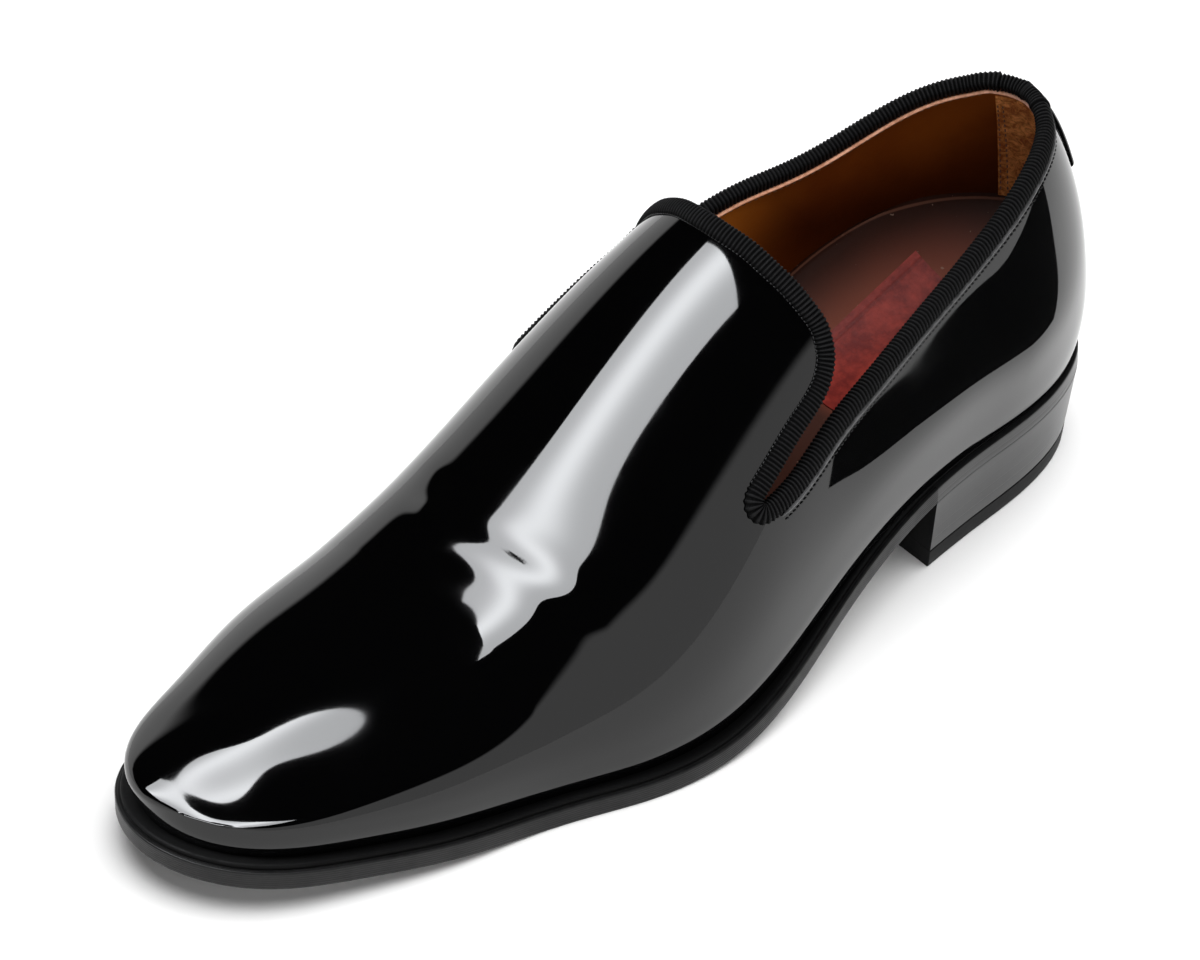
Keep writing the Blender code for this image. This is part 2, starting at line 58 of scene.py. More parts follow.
# One row for each section, as shares of the driving sizes: place along the foot of
# the length, width of the ball width, crown over the widest line of the instep,
# underside of the outsole of the heel height and of the toe spring. Then in
# millimetres: middle of the section, reach of the outsole past the widest outline,
# height of the widest line over the feather edge, and lean of the crown inwards.
SHARE_COLUMNS = ("place", "width", "crown", "heel", "spring", "middle", "reach", "girth", "lean")
SHARES = (
    (0.000, 0.56, 0.98, 1.00, 0.00, 0.0, -1.5, 20.0, -1.5),     # back of the heel
    (0.135, 0.59, 0.95, 1.00, 0.00, 0.0, -0.5, 20.0, -1.5),     # heel
    (0.270, 0.71, 0.97, 1.00, 0.00, -0.5, 0.0, 17.0, -2.0),     # heel breast
    (0.400, 0.86, 1.00, 0.65, 0.00, 0.5, 1.0, 13.0, -3.0),      # waist and instep
    (0.540, 1.00, 0.85, 0.10, 0.00, 2.0, 2.5, 10.0, -4.5),      # behind the ball
    (0.640, 0.98, 0.59, 0.00, 0.00, 0.5, 2.5, 8.5, -5.0),       # ball
    (0.720, 0.90, 0.42, 0.00, 0.00, -3.0, 2.5, 8.0, -4.5),      # front of the ball
    (0.805, 0.82, 0.30, 0.00, 0.25, -4.0, 3.0, 8.0, -4.0),      # toes
    (0.890, 0.70, 0.18, 0.00, 0.60, -3.5, 3.0, 8.0, -3.0),      # toe
    (1.000, 0.72, 0.06, 0.00, 1.00, -5.0, 3.5, 8.0, -2.0),      # tip
)
SECTION_COLUMNS = ("s", "middle", "half", "crown", "under", "reach", "girth", "lean")
SECTIONS = tuple(
    (place * LAST_LENGTH, middle, width * BALL_WIDTH / 2, crown * INSTEP,
     heel * HEEL_HEIGHT + spring * TOE_SPRING, reach, girth, lean)
    for place, width, crown, heel, spring, middle, reach, girth, lean in SHARES)
BACK = ((0, 2.0), (12, 0.0), (26, 0.5), (40, 2.0), (54, 3.5), (70, 5.0), (90, 8.0))
FLAP = ((0, 119.0), (7, 118.5), (12, 117.5), (18, 116.5), (23, 115.0), (28, 113.5), (32, 112.0))
FLAP_SIDE = ((112.0, 86.5, 88.5), (116.0, 80.0, 83.0), (121.0, 76.0, 79.5),
             (129.0, 72.0, 75.5), (136.0, 68.0, 71.5), (146.5, 61.5, 64.5))
QUARTER = ((146.5, 61.5, 64.5), (138.0, 63.5, 67.5), (120.0, 71.0, 75.5), (103.0, 76.0, 81.5),
           (85.0, 81.0, 86.0), (68.0, 85.5, 87.0), (48.0, 92.0, 92.0), (32.0, 97.5, 97.5), (22.0, 100.0, 100.0))
BACK_TOP = 102.0
# Folds and fullness of the vamp: the middle of each, its reach along and
# across, its turn from straight across the foot in degrees, and its height off the last.
FLEX_COLUMNS = ("x", "s", "along", "across", "turn", "height")
FLEX = (
    (-3.5, 270.0, 38.0, 8.5, 107, 2.1),      # ridge from the ball to the tip of the toe
    (14.5, 274.0, 38.0, 8.5, 107, -1.9),     # hollow on the outer side of that ridge
    (5.0, 290.0, 8.0, 6.0, 0, -0.6),         # dip where the ridge ends at the tip
    (15.0, 229.0, 22.0, 8.0, 106, 1.2),      # ridge running forward from the ball
    (29.0, 194.0, 9.0, 12.0, 0, 0.7),        # fullness over the outer joint
    (25.0, 214.0, 7.0, 8.0, 0, 0.4),         # and ahead of it
    (13.0, 194.0, 9.0, 2.8, -2, -0.34),      # trough of the bend
    (4.0, 200.5, 16.0, 3.0, -2, 0.50),       # ridge ahead of the trough
    (-5.0, 206.5, 7.0, 2.4, -8, -0.55),      # second trough on the inner side
    (-16.0, 200.0, 5.0, 2.5, 5, 0.80),       # pucker at the inner end of the bend
    (-17.0, 192.0, 6.0, 2.5, 5, -0.60),      # and the dip behind it
)
# Footbed inside: s, height of its middle, and how far its rim is cupped above that.
FOOTBED_COLUMNS = ("s", "middle", "cup")
FOOTBED = ((0.0, 49.0, 11.0), (22.0, 49.0, 11.5), (40.0, 45.5, 12.0), (60.0, 39.5, 11.5), (82.0, 34.0, 5.5), (104.0, 29.3, 1.2), (125.0, 23.0, 0.0))
FULLNESS = 3.0                 # bulge of the quarters half way up
STRIP_WIDTH, STRIP_HEIGHT, STRIP_THICK = 17.0, 19.0, 1.1
PLEATS = (-30.0, 2.0, 30.0)     # folds of the binding round the back, in degrees from straight back



# ------------------------------------------------------------------ the last
def curve_through(xs, ys):
    """Natural cubic through the points, straight beyond its ends."""
    xs, ys = np.asarray(xs, float), np.asarray(ys, float)
    n, h = len(xs), np.diff(xs)
    a, r = np.zeros((n, n)), np.zeros(n)
    a[0, 0] = a[-1, -1] = 1
    for i in range(1, n - 1):
        a[i, i - 1:i + 2] = h[i - 1], 2 * (h[i - 1] + h[i]), h[i]
        r[i] = 6 * ((ys[i + 1] - ys[i]) / h[i] - (ys[i] - ys[i - 1]) / h[i - 1])
    m = np.linalg.solve(a, r)
    slope0 = (ys[1] - ys[0]) / h[0] - h[0] * m[1] / 6
    slope1 = (ys[-1] - ys[-2]) / h[-1] + h[-1] * m[-2] / 6

    def at(x):
        x = np.asarray(x, float)
        i = np.clip(np.searchsorted(xs, x) - 1, 0, n - 2)
        p, q, w = xs[i + 1] - x, x - xs[i], h[i]
        v = (m[i] * p**3 + m[i + 1] * q**3) / (6 * w) + (ys[i] / w - m[i] * w / 6) * p + (ys[i + 1] / w - m[i + 1] * w / 6) * q
        v = np.where(x < xs[0], ys[0] + slope0 * (x - xs[0]), v)
        return np.where(x > xs[-1], ys[-1] + slope1 * (x - xs[-1]), v)

    return at


def along(name):
    k = SECTION_COLUMNS.index(name)
    return curve_through([r[0] for r in SECTIONS], [r[k] for r in SECTIONS])


middle, half, crown, under_free, reach, girth, lean = (along(c) for c in SECTION_COLUMNS[1:])
back_forward = curve_through(*zip(*BACK))


def under(s):
    return np.maximum(under_free(s), 0.0)


def feather(s):
    return under(s) + FEATHER


def form(p):
    """Below 0 inside the last, 0 on its surface. p is x, s, z."""
    x, s, z = p[..., 0], p[..., 1], p[..., 2]
    at = np.clip(s, -20, LAST_LENGTH + 20)
    height, wide = z - feather(at), girth(at)
    rise = np.clip((height - wide) / crown(at), 0, None)
    tuck = TUCK * np.clip((wide - height) / wide, 0, None) ** 3
    toe = np.clip((s - TOE_START) / (LAST_LENGTH - tuck - TOE_START), 0, None)
    heel = np.clip((HEEL_START - s) / (HEEL_START - back_forward(np.clip(height, -5, 95))), 0, None)
    across = (x - middle(at) - lean(at) * rise**2) / (half(at) - tuck)
    return np.abs(across) ** ROUND_ACROSS + rise**ROUND_UP + toe**ROUND_TOE + heel**ROUND_HEEL - 1


def slope(p, e=0.02):
    return np.stack([(form(p + e * d) - form(p - e * d)) / (2 * e) for d in np.eye(3)], -1)


def normal(p):
    g = slope(p)
    return g / (np.linalg.norm(g, axis=-1, keepdims=True) + 1e-12)


def meet(origin, direction, far=170.0, rounds=34):
    origin, direction = np.broadcast_arrays(np.asarray(origin, float), np.asarray(direction, float))
    near, out = np.zeros(origin.shape[:-1]), np.full(origin.shape[:-1], far)
    for _ in range(rounds):
        t = (near + out) / 2
        inside = form(origin + t[..., None] * direction) < 0
        near, out = np.where(inside, t, near), np.where(inside, out, t)
    return origin + near[..., None] * direction


def settle(p, rounds=5):
    for _ in range(rounds):
        g = slope(p)
        p = p - (form(p) / ((g**2).sum(-1) + 1e-12))[..., None] * g
    return p


# ------------------------------------------------------------------ mesh helpers
def to_world(p):
    p = np.asarray(p, float)
    return np.stack([p[..., 0] - FRAME_X, FRAME_S - p[..., 1], p[..., 2]], -1) * 0.001


def grid_faces(rows, columns, close_rows=False, close_columns=False):
    i = np.arange(rows if close_rows else rows - 1)
    j = np.arange(columns if close_columns else columns - 1)
    a, c = np.meshgrid(i, j, indexing="ij")
    b, d = (a + 1) % rows, (c + 1) % columns
    return np.stack([a * columns + c, b * columns + c, b * columns + d, a * columns + d], -1).reshape(-1, 4)


def piece(name, points, faces, finish, uv=None, sharp=None, merge=True, flip=None):
    """A visible mesh piece from points in millimetres. uv holds one pair for each point."""
    mesh = bpy.data.meshes.new(name)
    world = to_world(points)
    mesh.from_pydata(world.tolist(), [], np.asarray(faces).tolist() if not isinstance(faces, list) else faces)
    if uv is not None:
        layer = mesh.uv_layers.new(name="run")
        loops = np.empty(len(mesh.loops), np.int32)
        mesh.loops.foreach_get("vertex_index", loops)
        layer.data.foreach_set("uv", np.asarray(uv, float)[loops].astype(np.float32).ravel())
    work = bmesh.new()
    work.from_mesh(mesh)
    if merge:
        bmesh.ops.remove_doubles(work, verts=work.verts, dist=2e-6)
        bmesh.ops.dissolve_degenerate(work, dist=1e-7, edges=work.edges)
    loose = [v for v in work.verts if not v.link_faces]
    bmesh.ops.delete(work, geom=loose, context="VERTS")
    if flip is None:
        bmesh.ops.recalc_face_normals(work, faces=work.faces)
    elif flip:
        bmesh.ops.reverse_faces(work, faces=work.faces)
    work.to_mesh(mesh)
    work.free()
    mesh.shade_smooth()
    if sharp:
        mesh.set_sharp_from_angle(angle=sharp)
    obj = bpy.data.objects.new(name, mesh)
    bpy.context.scene.collection.objects.link(obj)
    mesh.materials.append(finish)
    return obj


# ------------------------------------------------------------------ materials
class Finish:
    """A node material with a few short helpers."""

    def __init__(self, name, colour, roughness, ior=1.5, **sockets):
        self.material = bpy.data.materials.new(name)
        self.material.use_nodes = True
        self.tree = self.material.node_tree
        self.shader = self.tree.nodes["Principled BSDF"]
        self.shader.inputs["Base Color"].default_value = (*colour, 1)
        self.shader.inputs["Roughness"].default_value = roughness
        self.shader.inputs["IOR"].default_value = ior
        for key, value in sockets.items():
            self.shader.inputs[key.replace("_", " ").title().replace("Ior", "IOR")].default_value = value

    def node(self, kind, **settings):
        made = self.tree.nodes.new(kind)
        for key, value in settings.items():
            setattr(made, key, value)
        return made

    def link(self, source, target):
        self.tree.links.new(source, target)

    def value(self, socket, value):
        if hasattr(value, "is_linked") or hasattr(value, "links"):
            self.link(value, socket)
        else:
            socket.default_value = value

    def place(self):
        return self.node("ShaderNodeTexCoord").outputs["Object"]

    def run(self):
        made = self.node("ShaderNodeUVMap")
        made.uv_map = "run"
        split = self.node("ShaderNodeSeparateXYZ")
        self.link(made.outputs["UV"], split.inputs[0])
        return split.outputs["X"], split.outputs["Y"]

    def noise(self, scale, detail=4.0, rough=0.55, vector=None, distortion=0.0):
        made = self.node("ShaderNodeTexNoise")
        made.inputs["Scale"].default_value = scale
        made.inputs["Detail"].default_value = detail
        made.inputs["Roughness"].default_value = rough
        made.inputs["Distortion"].default_value = distortion
        self.link(vector or self.place(), made.inputs["Vector"])
        return made.outputs["Fac"]

    def math(self, operation, a, b=None, c=None, clamp=False):
        made = self.node("ShaderNodeMath", operation=operation, use_clamp=clamp)
        for socket, value in zip(made.inputs, (a, b, c)):
            if value is not None:
                self.value(socket, value)
        return made.outputs[0]

    def ramp(self, fac, low, high, to_low, to_high):
        made = self.node("ShaderNodeMapRange", interpolation_type="SMOOTHSTEP")
        self.link(fac, made.inputs["Value"])
        for key, value in (("From Min", low), ("From Max", high), ("To Min", to_low), ("To Max", to_high)):
            made.inputs[key].default_value = value
        return made.outputs["Result"]

    def mix(self, fac, a, b):
        made = self.node("ShaderNodeMix", data_type="RGBA")
        self.value(made.inputs[0], fac)
        for socket, value in ((made.inputs[6], a), (made.inputs[7], b)):
            self.value(socket, (*value, 1) if isinstance(value, tuple) and len(value) == 3 else value)
        return made.outputs[2]

    def bump(self, height, distance, strength=1.0, onto=None):
        made = self.node("ShaderNodeBump")
        made.inputs["Strength"].default_value = strength
        made.inputs["Distance"].default_value = distance
        self.link(height, made.inputs["Height"])
        if onto is not None:
            self.link(onto, made.inputs["Normal"])
        return made.outputs["Normal"]

    def wire(self, colour=None, roughness=None, bump=None):
        for name, source in (("Base Color", colour), ("Roughness", roughness), ("Normal", bump)):
            if source is not None:
                self.link(source, self.shader.inputs[name])
        return self.material


def patent_finish():
    f = Finish("patent_leather", (0.0007, 0.0007, 0.0008), 0.045, ior=1.5)
    wave = f.noise(60.0, 2.0, 0.5)
    fine = f.noise(420.0, 3.0, 0.5)
    normal_1 = f.bump(wave, 0.000012, 0.5)
    normal_2 = f.bump(fine, 0.0000015, 0.5, normal_1)
    smear = f.ramp(f.noise(35.0, 5.0, 0.6), 0.35, 0.75, 0.03, 0.06)
    return f.wire(roughness=smear, bump=normal_2)


def ribbon_finish():
    """Black grosgrain: cross ribs of fine twisted threads, with painted highlights on the rib crests and painted
    shade toward the outer lower edge.
    """
    f = Finish("grosgrain", (0.004, 0.004, 0.0045), 0.58, ior=1.45, sheen_weight=0.0, specular_ior_level=0.08)
    u, v = f.run()
    crest = f.math("COSINE", f.math("MULTIPLY", u, 2 * math.pi))
    thread = f.math("SINE", f.math("MULTIPLY", v, 2 * math.pi / 0.40))
    fray = f.noise(1100.0, 3.0)
    height = f.math("ADD", f.math("MULTIPLY", crest, 0.6), f.math("MULTIPLY", thread, 0.22))
    height = f.math("ADD", height, f.math("MULTIPLY", fray, 0.8))
    # painted highlight on each rib crest and painted shade toward the outer lower edge, put into the colour
    painted_rib_light = f.math("MULTIPLY", f.ramp(crest, -0.35, 0.95, 0.0, 1.0), f.ramp(v, 0.1, 1.5, 0.25, 1.0))
    colour = f.mix(painted_rib_light, (0.0004, 0.0004, 0.0005), (0.0105, 0.0105, 0.0110))
    rough = f.ramp(crest, -1.0, 1.0, 0.8, 0.5)
    return f.wire(colour=colour, roughness=rough, bump=f.bump(height, 0.00014, 0.9))


def edge_finish():
    """Dyed and burnished edge of the sole, with faint lines along it."""
    f = Finish("sole_edge", (0.006, 0.006, 0.0062), 0.42, specular_ior_level=0.3)
    u, v = f.run()
    wobble = f.math("MULTIPLY", f.noise(40.0, 3.0), 0.35)
    lines = f.math("SINE", f.math("MULTIPLY", f.math("ADD", v, wobble), 2 * math.pi / 0.62))
    grain = f.noise(420.0, 5.0, 0.65)
    height = f.math("ADD", f.math("MULTIPLY", lines, 0.55), f.math("MULTIPLY", grain, 0.5))
    colour = f.mix(f.ramp(f.math("ADD", grain, f.math("MULTIPLY", lines, 0.20)), 0.3, 0.75, 0.0, 1.0), (0.0022, 0.0022, 0.0023), (0.0075, 0.0075, 0.0078))
    rough = f.ramp(f.noise(120.0, 4.0), 0.3, 0.75, 0.36, 0.50)
    return f.wire(colour=colour, roughness=rough, bump=f.bump(height, 0.00007, 0.6))


def under_finish():
    f = Finish("sole_under", (0.05, 0.035, 0.025), 0.6)
    grain = f.noise(260.0, 6.0, 0.65)
    colour = f.mix(f.ramp(grain, 0.3, 0.7, 0.0, 1.0), (0.018, 0.016, 0.015), (0.032, 0.029, 0.027))
    return f.wire(colour=colour, bump=f.bump(grain, 0.00012, 0.5))


def welt_finish():
    f = Finish("welt_leather", (0.0014, 0.0014, 0.0015), 0.66, specular_ior_level=0.12)
    grain = f.noise(300.0, 5.0, 0.6)
    rough = f.ramp(grain, 0.3, 0.75, 0.58, 0.74)
    return f.wire(roughness=rough, bump=f.bump(grain, 0.00005, 0.5))


def heel_finish():
    """Burnished stacked leather: smooth, with fine lines where the layers meet."""
    f = Finish("heel_leather", (0.006, 0.006, 0.0062), 0.30)
    u, v = f.run()
    sway = f.math("MULTIPLY", f.noise(30.0, 2.0), 0.5)
    lines = f.math("SINE", f.math("MULTIPLY", f.math("ADD", v, sway), 2 * math.pi / 3.4))
    cut = f.ramp(lines, 0.955, 1.0, 0.0, 1.0)
    low = f.math("MULTIPLY", cut, f.ramp(v, 2.0, 12.0, 1.0, 0.25))
    grain = f.noise(260.0, 5.0, 0.6)
    colour = f.mix(f.ramp(grain, 0.3, 0.75, 0.0, 1.0), (0.0052, 0.0052, 0.0054), (0.0085, 0.0085, 0.0088))
    colour = f.mix(f.math("MULTIPLY", low, 0.7), colour, (0.0015, 0.0015, 0.0016))
    height = f.math("SUBTRACT", f.math("MULTIPLY", grain, 0.25), f.math("MULTIPLY", low, 0.9))
    rough = f.ramp(f.noise(90.0, 4.0), 0.3, 0.75, 0.275, 0.305)
    return f.wire(colour=colour, roughness=rough, bump=f.bump(height, 0.00005, 0.5))


def rubber_finish():
    f = Finish("heel_rubber", (0.005, 0.005, 0.0052), 0.55, specular_ior_level=0.14)
    grain = f.noise(800.0, 4.0, 0.6)
    colour = f.mix(f.ramp(grain, 0.35, 0.7, 0.0, 1.0), (0.0022, 0.0022, 0.0024), (0.0050, 0.0050, 0.0052))
    return f.wire(colour=colour, bump=f.bump(grain, 0.00006, 0.6))


def lining_finish():
    """Amber lining leather with a soft shine, with painted light near the top edge and towards the front and painted
    shade low down and in the middle.
    """
    f = Finish("lining_leather", (0.12, 0.04, 0.010), 0.34, specular_ior_level=0.15)
    cloud = f.noise(26.0, 5.0, 0.6)
    pores = f.noise(650.0, 4.0, 0.6)
    split = f.node("ShaderNodeSeparateXYZ")
    f.link(f.place(), split.inputs[0])
    # painted light and shade: lighter by height and towards the front, dark low down and in the middle
    high = f.ramp(f.math("ADD", split.outputs["Z"], f.math("MULTIPLY", f.math("SUBTRACT", cloud, 0.5), 0.014)), 0.056, 0.090, 0.0, 1.0)
    front = f.math("MULTIPLY", f.ramp(split.outputs["Y"], 0.098, 0.052, 0.0, 1.0), f.ramp(split.outputs["Z"], 0.044, 0.064, 0.12, 1.0))
    painted_light_share = f.math("MAXIMUM", f.math("MULTIPLY", high, 0.48), f.math("MULTIPLY", front, 0.95))
    light = f.mix(f.ramp(cloud, 0.3, 0.72, 0.0, 1.0), (0.230, 0.048, 0.0035), (0.360, 0.088, 0.0075))
    light = f.mix(front, light, (0.62, 0.190, 0.0200))
    colour = f.mix(painted_light_share, (0.050, 0.0090, 0.0008), light)
    rough = f.ramp(cloud, 0.3, 0.75, 0.30, 0.44)
    return f.wire(colour=colour, roughness=rough, bump=f.bump(f.math("ADD", pores, f.math("MULTIPLY", cloud, 2.0)), 0.00012, 0.5))


def suede_finish():
    """Napped heel grip, mottled with loose fibres."""
    f = Finish("heel_grip_suede", (0.12, 0.045, 0.018), 0.92, specular_ior_level=0.1)
    nap = f.noise(420.0, 6.0, 0.72, distortion=1.2)
    cloud = f.noise(95.0, 5.0, 0.65)
    tone = f.math("ADD", f.math("MULTIPLY", nap, 0.6), f.math("MULTIPLY", cloud, 0.4))
    colour = f.mix(f.ramp(tone, 0.40, 0.62, 0.0, 1.0), (0.340, 0.095, 0.0230), (0.950, 0.390, 0.1150))
    return f.wire(colour=colour, bump=f.bump(nap, 0.0006, 0.9))


def sock_finish():
    """Dark brown insole sock, dull, with small pale specks; painted shade darkens it toward the walls and over the
    forepart, and a painted highlight runs as a thin lighter line where it meets the lining.
    """
    f = Finish("insole_sock", (0.04, 0.02, 0.014), 0.55, specular_ior_level=0.08)
    u, v = f.run()
    cloud = f.noise(36.0, 5.0, 0.6)
    grain = f.noise(480.0, 5.0, 0.65)
    specks = f.ramp(f.noise(620.0, 2.0, 0.5), 0.72, 0.76, 0.0, 1.0)
    tone = f.mix(f.ramp(cloud, 0.3, 0.72, 0.0, 1.0), (0.125, 0.0310, 0.0165), (0.165, 0.0450, 0.0260))
    # painted shade: darker toward the walls, where the footbed turns up
    rim = f.ramp(f.math("ADD", v, f.math("MULTIPLY", f.math("SUBTRACT", cloud, 0.5), 0.25)), 0.36, 0.93, 0.0, 0.92)
    split = f.node("ShaderNodeSeparateXYZ")
    f.link(f.place(), split.inputs[0])
    # painted shade over the forepart, from just ahead of the label forward
    tone = f.mix(f.ramp(split.outputs["Y"], 0.073, 0.065, 0.0, 0.90), tone, (0.0230, 0.0105, 0.0080))
    colour = f.mix(rim, tone, (0.0090, 0.0034, 0.0020))
    colour = f.mix(f.math("MULTIPLY", specks, 0.5), colour, (0.26, 0.17, 0.13))
    # painted highlight: a thin lighter line along the sock's edge next to the lining
    painted_edge_highlight = f.ramp(f.math("ABSOLUTE", f.math("SUBTRACT", v, 0.945)), 0.005, 0.016, 1.0, 0.0)
    colour = f.mix(f.math("MULTIPLY", painted_edge_highlight, 0.45), colour, (0.170, 0.0720, 0.0460))
    return f.wire(colour=colour, bump=f.bump(grain, 0.00010, 0.5))


def label_finish():
    """Dyed red leather patch with a pressed border line."""
    f = Finish("label_red", (0.16, 0.016, 0.013), 0.42, specular_ior_level=0.16)
    u, v = f.run()
    grain = f.noise(420.0, 5.0, 0.65)
    cloud = f.noise(75.0, 5.0, 0.62)
    across = f.math("ABSOLUTE", f.math("SUBTRACT", f.math("ABSOLUTE", u), 0.86))
    line = f.ramp(across, 0.012, 0.045, 1.0, 0.0)
    colour = f.mix(f.ramp(f.math("ADD", f.math("MULTIPLY", cloud, 0.6), f.math("MULTIPLY", grain, 0.4)), 0.36, 0.66, 0.0, 1.0), (0.100, 0.0080, 0.0062), (0.235, 0.0250, 0.0160))
    colour = f.mix(f.math("MULTIPLY", line, 0.35), colour, (0.050, 0.0050, 0.0045))
    height = f.math("SUBTRACT", grain, f.math("MULTIPLY", line, 0.7))
    return f.wire(colour=colour, bump=f.bump(height, 0.00014, 0.6))


def cut_edge_finish():
    f = Finish("lining_cut_edge", (0.35, 0.20, 0.14), 0.7)
    grain = f.noise(700.0, 4.0, 0.6)
    colour = f.mix(f.ramp(grain, 0.3, 0.7, 0.0, 1.0), (0.56, 0.24, 0.135), (0.88, 0.46, 0.300))
    return f.wire(colour=colour, bump=f.bump(grain, 0.0001, 0.5))


def bead_finish():
    f = Finish("bead_leather", (0.05, 0.05, 0.052), 0.34)
    grain = f.noise(500.0, 4.0, 0.6)
    colour = f.mix(f.ramp(grain, 0.3, 0.7, 0.0, 1.0), (0.030, 0.030, 0.031), (0.075, 0.075, 0.077))
    return f.wire(colour=colour, roughness=f.ramp(grain, 0.3, 0.7, 0.28, 0.42), bump=f.bump(grain, 0.00006, 0.5))


def thread_finish(name, colour):
    f = Finish(name, colour, 0.5)
    twist = f.noise(1400.0, 2.0)
    tone = f.mix(f.ramp(twist, 0.3, 0.7, 0.0, 1.0), tuple(0.6 * c for c in colour), colour)
    return f.wire(colour=tone, roughness=f.ramp(twist, 0.3, 0.7, 0.38, 0.6), bump=f.bump(twist, 0.00008, 0.6))


PATENT, RIBBON, EDGE, UNDER, WELT = patent_finish(), ribbon_finish(), edge_finish(), under_finish(), welt_finish()
HEEL, RUBBER, LINING, SUEDE, SOCK = heel_finish(), rubber_finish(), lining_finish(), suede_finish(), sock_finish()
LABEL, CUT_EDGE, BEAD = label_finish(), cut_edge_finish(), bead_finish()
THREAD = thread_finish("black_thread", (0.012, 0.012, 0.013))
PALE_THREAD = thread_finish("brown_thread", (0.19, 0.085, 0.035))


# ------------------------------------------------------------------ skin of the upper
def ribs(rows_toe, rows_body, rows_heel, side_points, packing):
    turn_toe = np.linspace(np.pi / 2, 0, rows_toe, endpoint=False)
    turn_heel = np.linspace(0, np.pi / 2, rows_heel + 1)[1:]
    centre_s = np.concatenate([0 * turn_toe + TOE_START, rows_body, 0 * turn_heel + HEEL_START])
    heading = np.concatenate([turn_toe, 0 * rows_body, -turn_heel])
    centre = np.stack([middle(centre_s), centre_s, feather(centre_s)], -1)[:, None]
    halves = []
    for side in (1.0, -1.0):
        plan_x, plan_s = side * np.cos(heading)[:, None], np.sin(heading)[:, None]

        def hit(rise):
            return meet(centre, np.stack([np.cos(rise) * plan_x, np.cos(rise) * plan_s, np.sin(rise)], -1))

        low, high = np.full((len(heading), 1), -0.5), np.full((len(heading), 1), 0.5)
        for _ in range(32):
            mid = (low + high) / 2
            p = hit(mid)
            above = p[..., 2] > feather(p[..., 1])
            low, high = np.where(above, low, mid), np.where(above, mid, high)
        dense = hit(high + (np.pi / 2 - high) * np.linspace(0, 1, 150)[None, :])
        run = np.linalg.norm(np.diff(dense, axis=1), axis=-1)
        t = np.concatenate([np.zeros((len(run), 1)), np.cumsum(run, 1)], 1)
        share = np.linspace(0, 1, side_points) ** packing
        halves.append(np.array([[np.interp(share * t[i, -1], t[i], dense[i, :, k]) for k in range(3)] for i in range(len(t))]).transpose(0, 2, 1))
    outer, inner = halves
    return np.concatenate([settle(outer), settle(inner)[:, -2::-1]], 1)


def smooth_ring(p, spacing, soft):
    def even(q, n):
        q = np.vstack([q, q[:1]])
        t = np.concatenate([[0], np.cumsum(np.linalg.norm(np.diff(q, axis=0), axis=1))])
        at = np.linspace(0, t[-1], n, endpoint=False)
        return np.stack([np.interp(at, t, q[:, k]) for k in range(3)], -1)

    length = np.linalg.norm(np.diff(np.vstack([p, p[:1]]), axis=0), axis=1).sum()
    n = int(length / spacing)
    q = even(p, n)
    width = soft / spacing
    k = np.arange(-int(4 * width), int(4 * width) + 1)
    weight = np.exp(-(k / width) ** 2 / 2)
    weight /= weight.sum()
    q = sum(w * np.roll(q, -i, 0) for i, w in zip(k, weight))
    return even(settle(q), n)


def edge_line():
    """Middle of the binding on the upper, all the way round the opening."""
    inset = BINDING / 2
    flap_s = curve_through(*zip(*FLAP))

    def side(which):
        sign, col = (1.0, 1) if which == "outer" else (-1.0, 2)
        off = np.linspace(0, 31.5, 22)
        crown_x = float(middle(118.0) + lean(118.0))
        start = np.stack([crown_x + sign * off, flap_s(off) + inset * 0.88, np.full(22, 55.0)], -1)
        top = meet(start, np.array([0, 0, 1.0]))
        lines, turns = [], []
        for rows in (FLAP_SIDE, QUARTER):
            s, z = np.array([r[0] for r in rows]), np.array([r[col] for r in rows])
            t = np.concatenate([[0], np.cumsum(np.hypot(np.diff(s), np.diff(z)))])
            at = np.linspace(0, t[-1], 60)
            line = np.c_[curve_through(t, s)(at), curve_through(t, z)(at)]
            d = np.gradient(line, axis=0)
            d /= np.linalg.norm(d, axis=1)[:, None]
            lines.append(line)
            turns.append(np.c_[-d[:, 1], d[:, 0]])
        first, last = turns[0][-1], turns[1][0]
        a0, a1 = np.arctan2(first[1], first[0]), np.arctan2(last[1], last[0])
        a1 = a1 - 2 * np.pi if a1 > a0 else a1
        sweep = np.linspace(a0, a1, 11)[1:-1]
        tip = lines[0][-1] + inset * np.c_[np.cos(sweep), np.sin(sweep)]
        flat = np.concatenate([lines[0][3:] + inset * turns[0][3:], tip, lines[1] + inset * turns[1]])
        start = np.stack([middle(flat[:, 0]), flat[:, 0], flat[:, 1]], -1)
        return np.concatenate([top, meet(start, np.array([sign, 0, 0]))])

    outer, inner = side("outer"), side("inner")
    angle = np.radians(np.linspace(-56, 56, 9))
    hub = np.stack([np.full(9, float(middle(30.0))), np.full(9, 30.0), np.full(9, BACK_TOP - inset)], -1)
    back = meet(hub, np.stack([-np.sin(angle), -np.cos(angle), 0 * angle], -1))
    back = back[back[:, 1] < 19.0]
    return smooth_ring(np.concatenate([outer, back, inner[:0:-1]]), 0.25, 1.6)


def ring_frames(line):
    ahead = np.roll(line, -1, 0) - np.roll(line, 1, 0)
    ahead /= np.linalg.norm(ahead, axis=1)[:, None]
    out = normal(line)
    up = np.cross(ahead, out)
    up /= np.linalg.norm(up, axis=1)[:, None]
    return ahead, up, out


def ease(v, low, high):
    v = np.clip((v - low) / (high - low), 0, 1)
    return v * v * (3 - 2 * v)


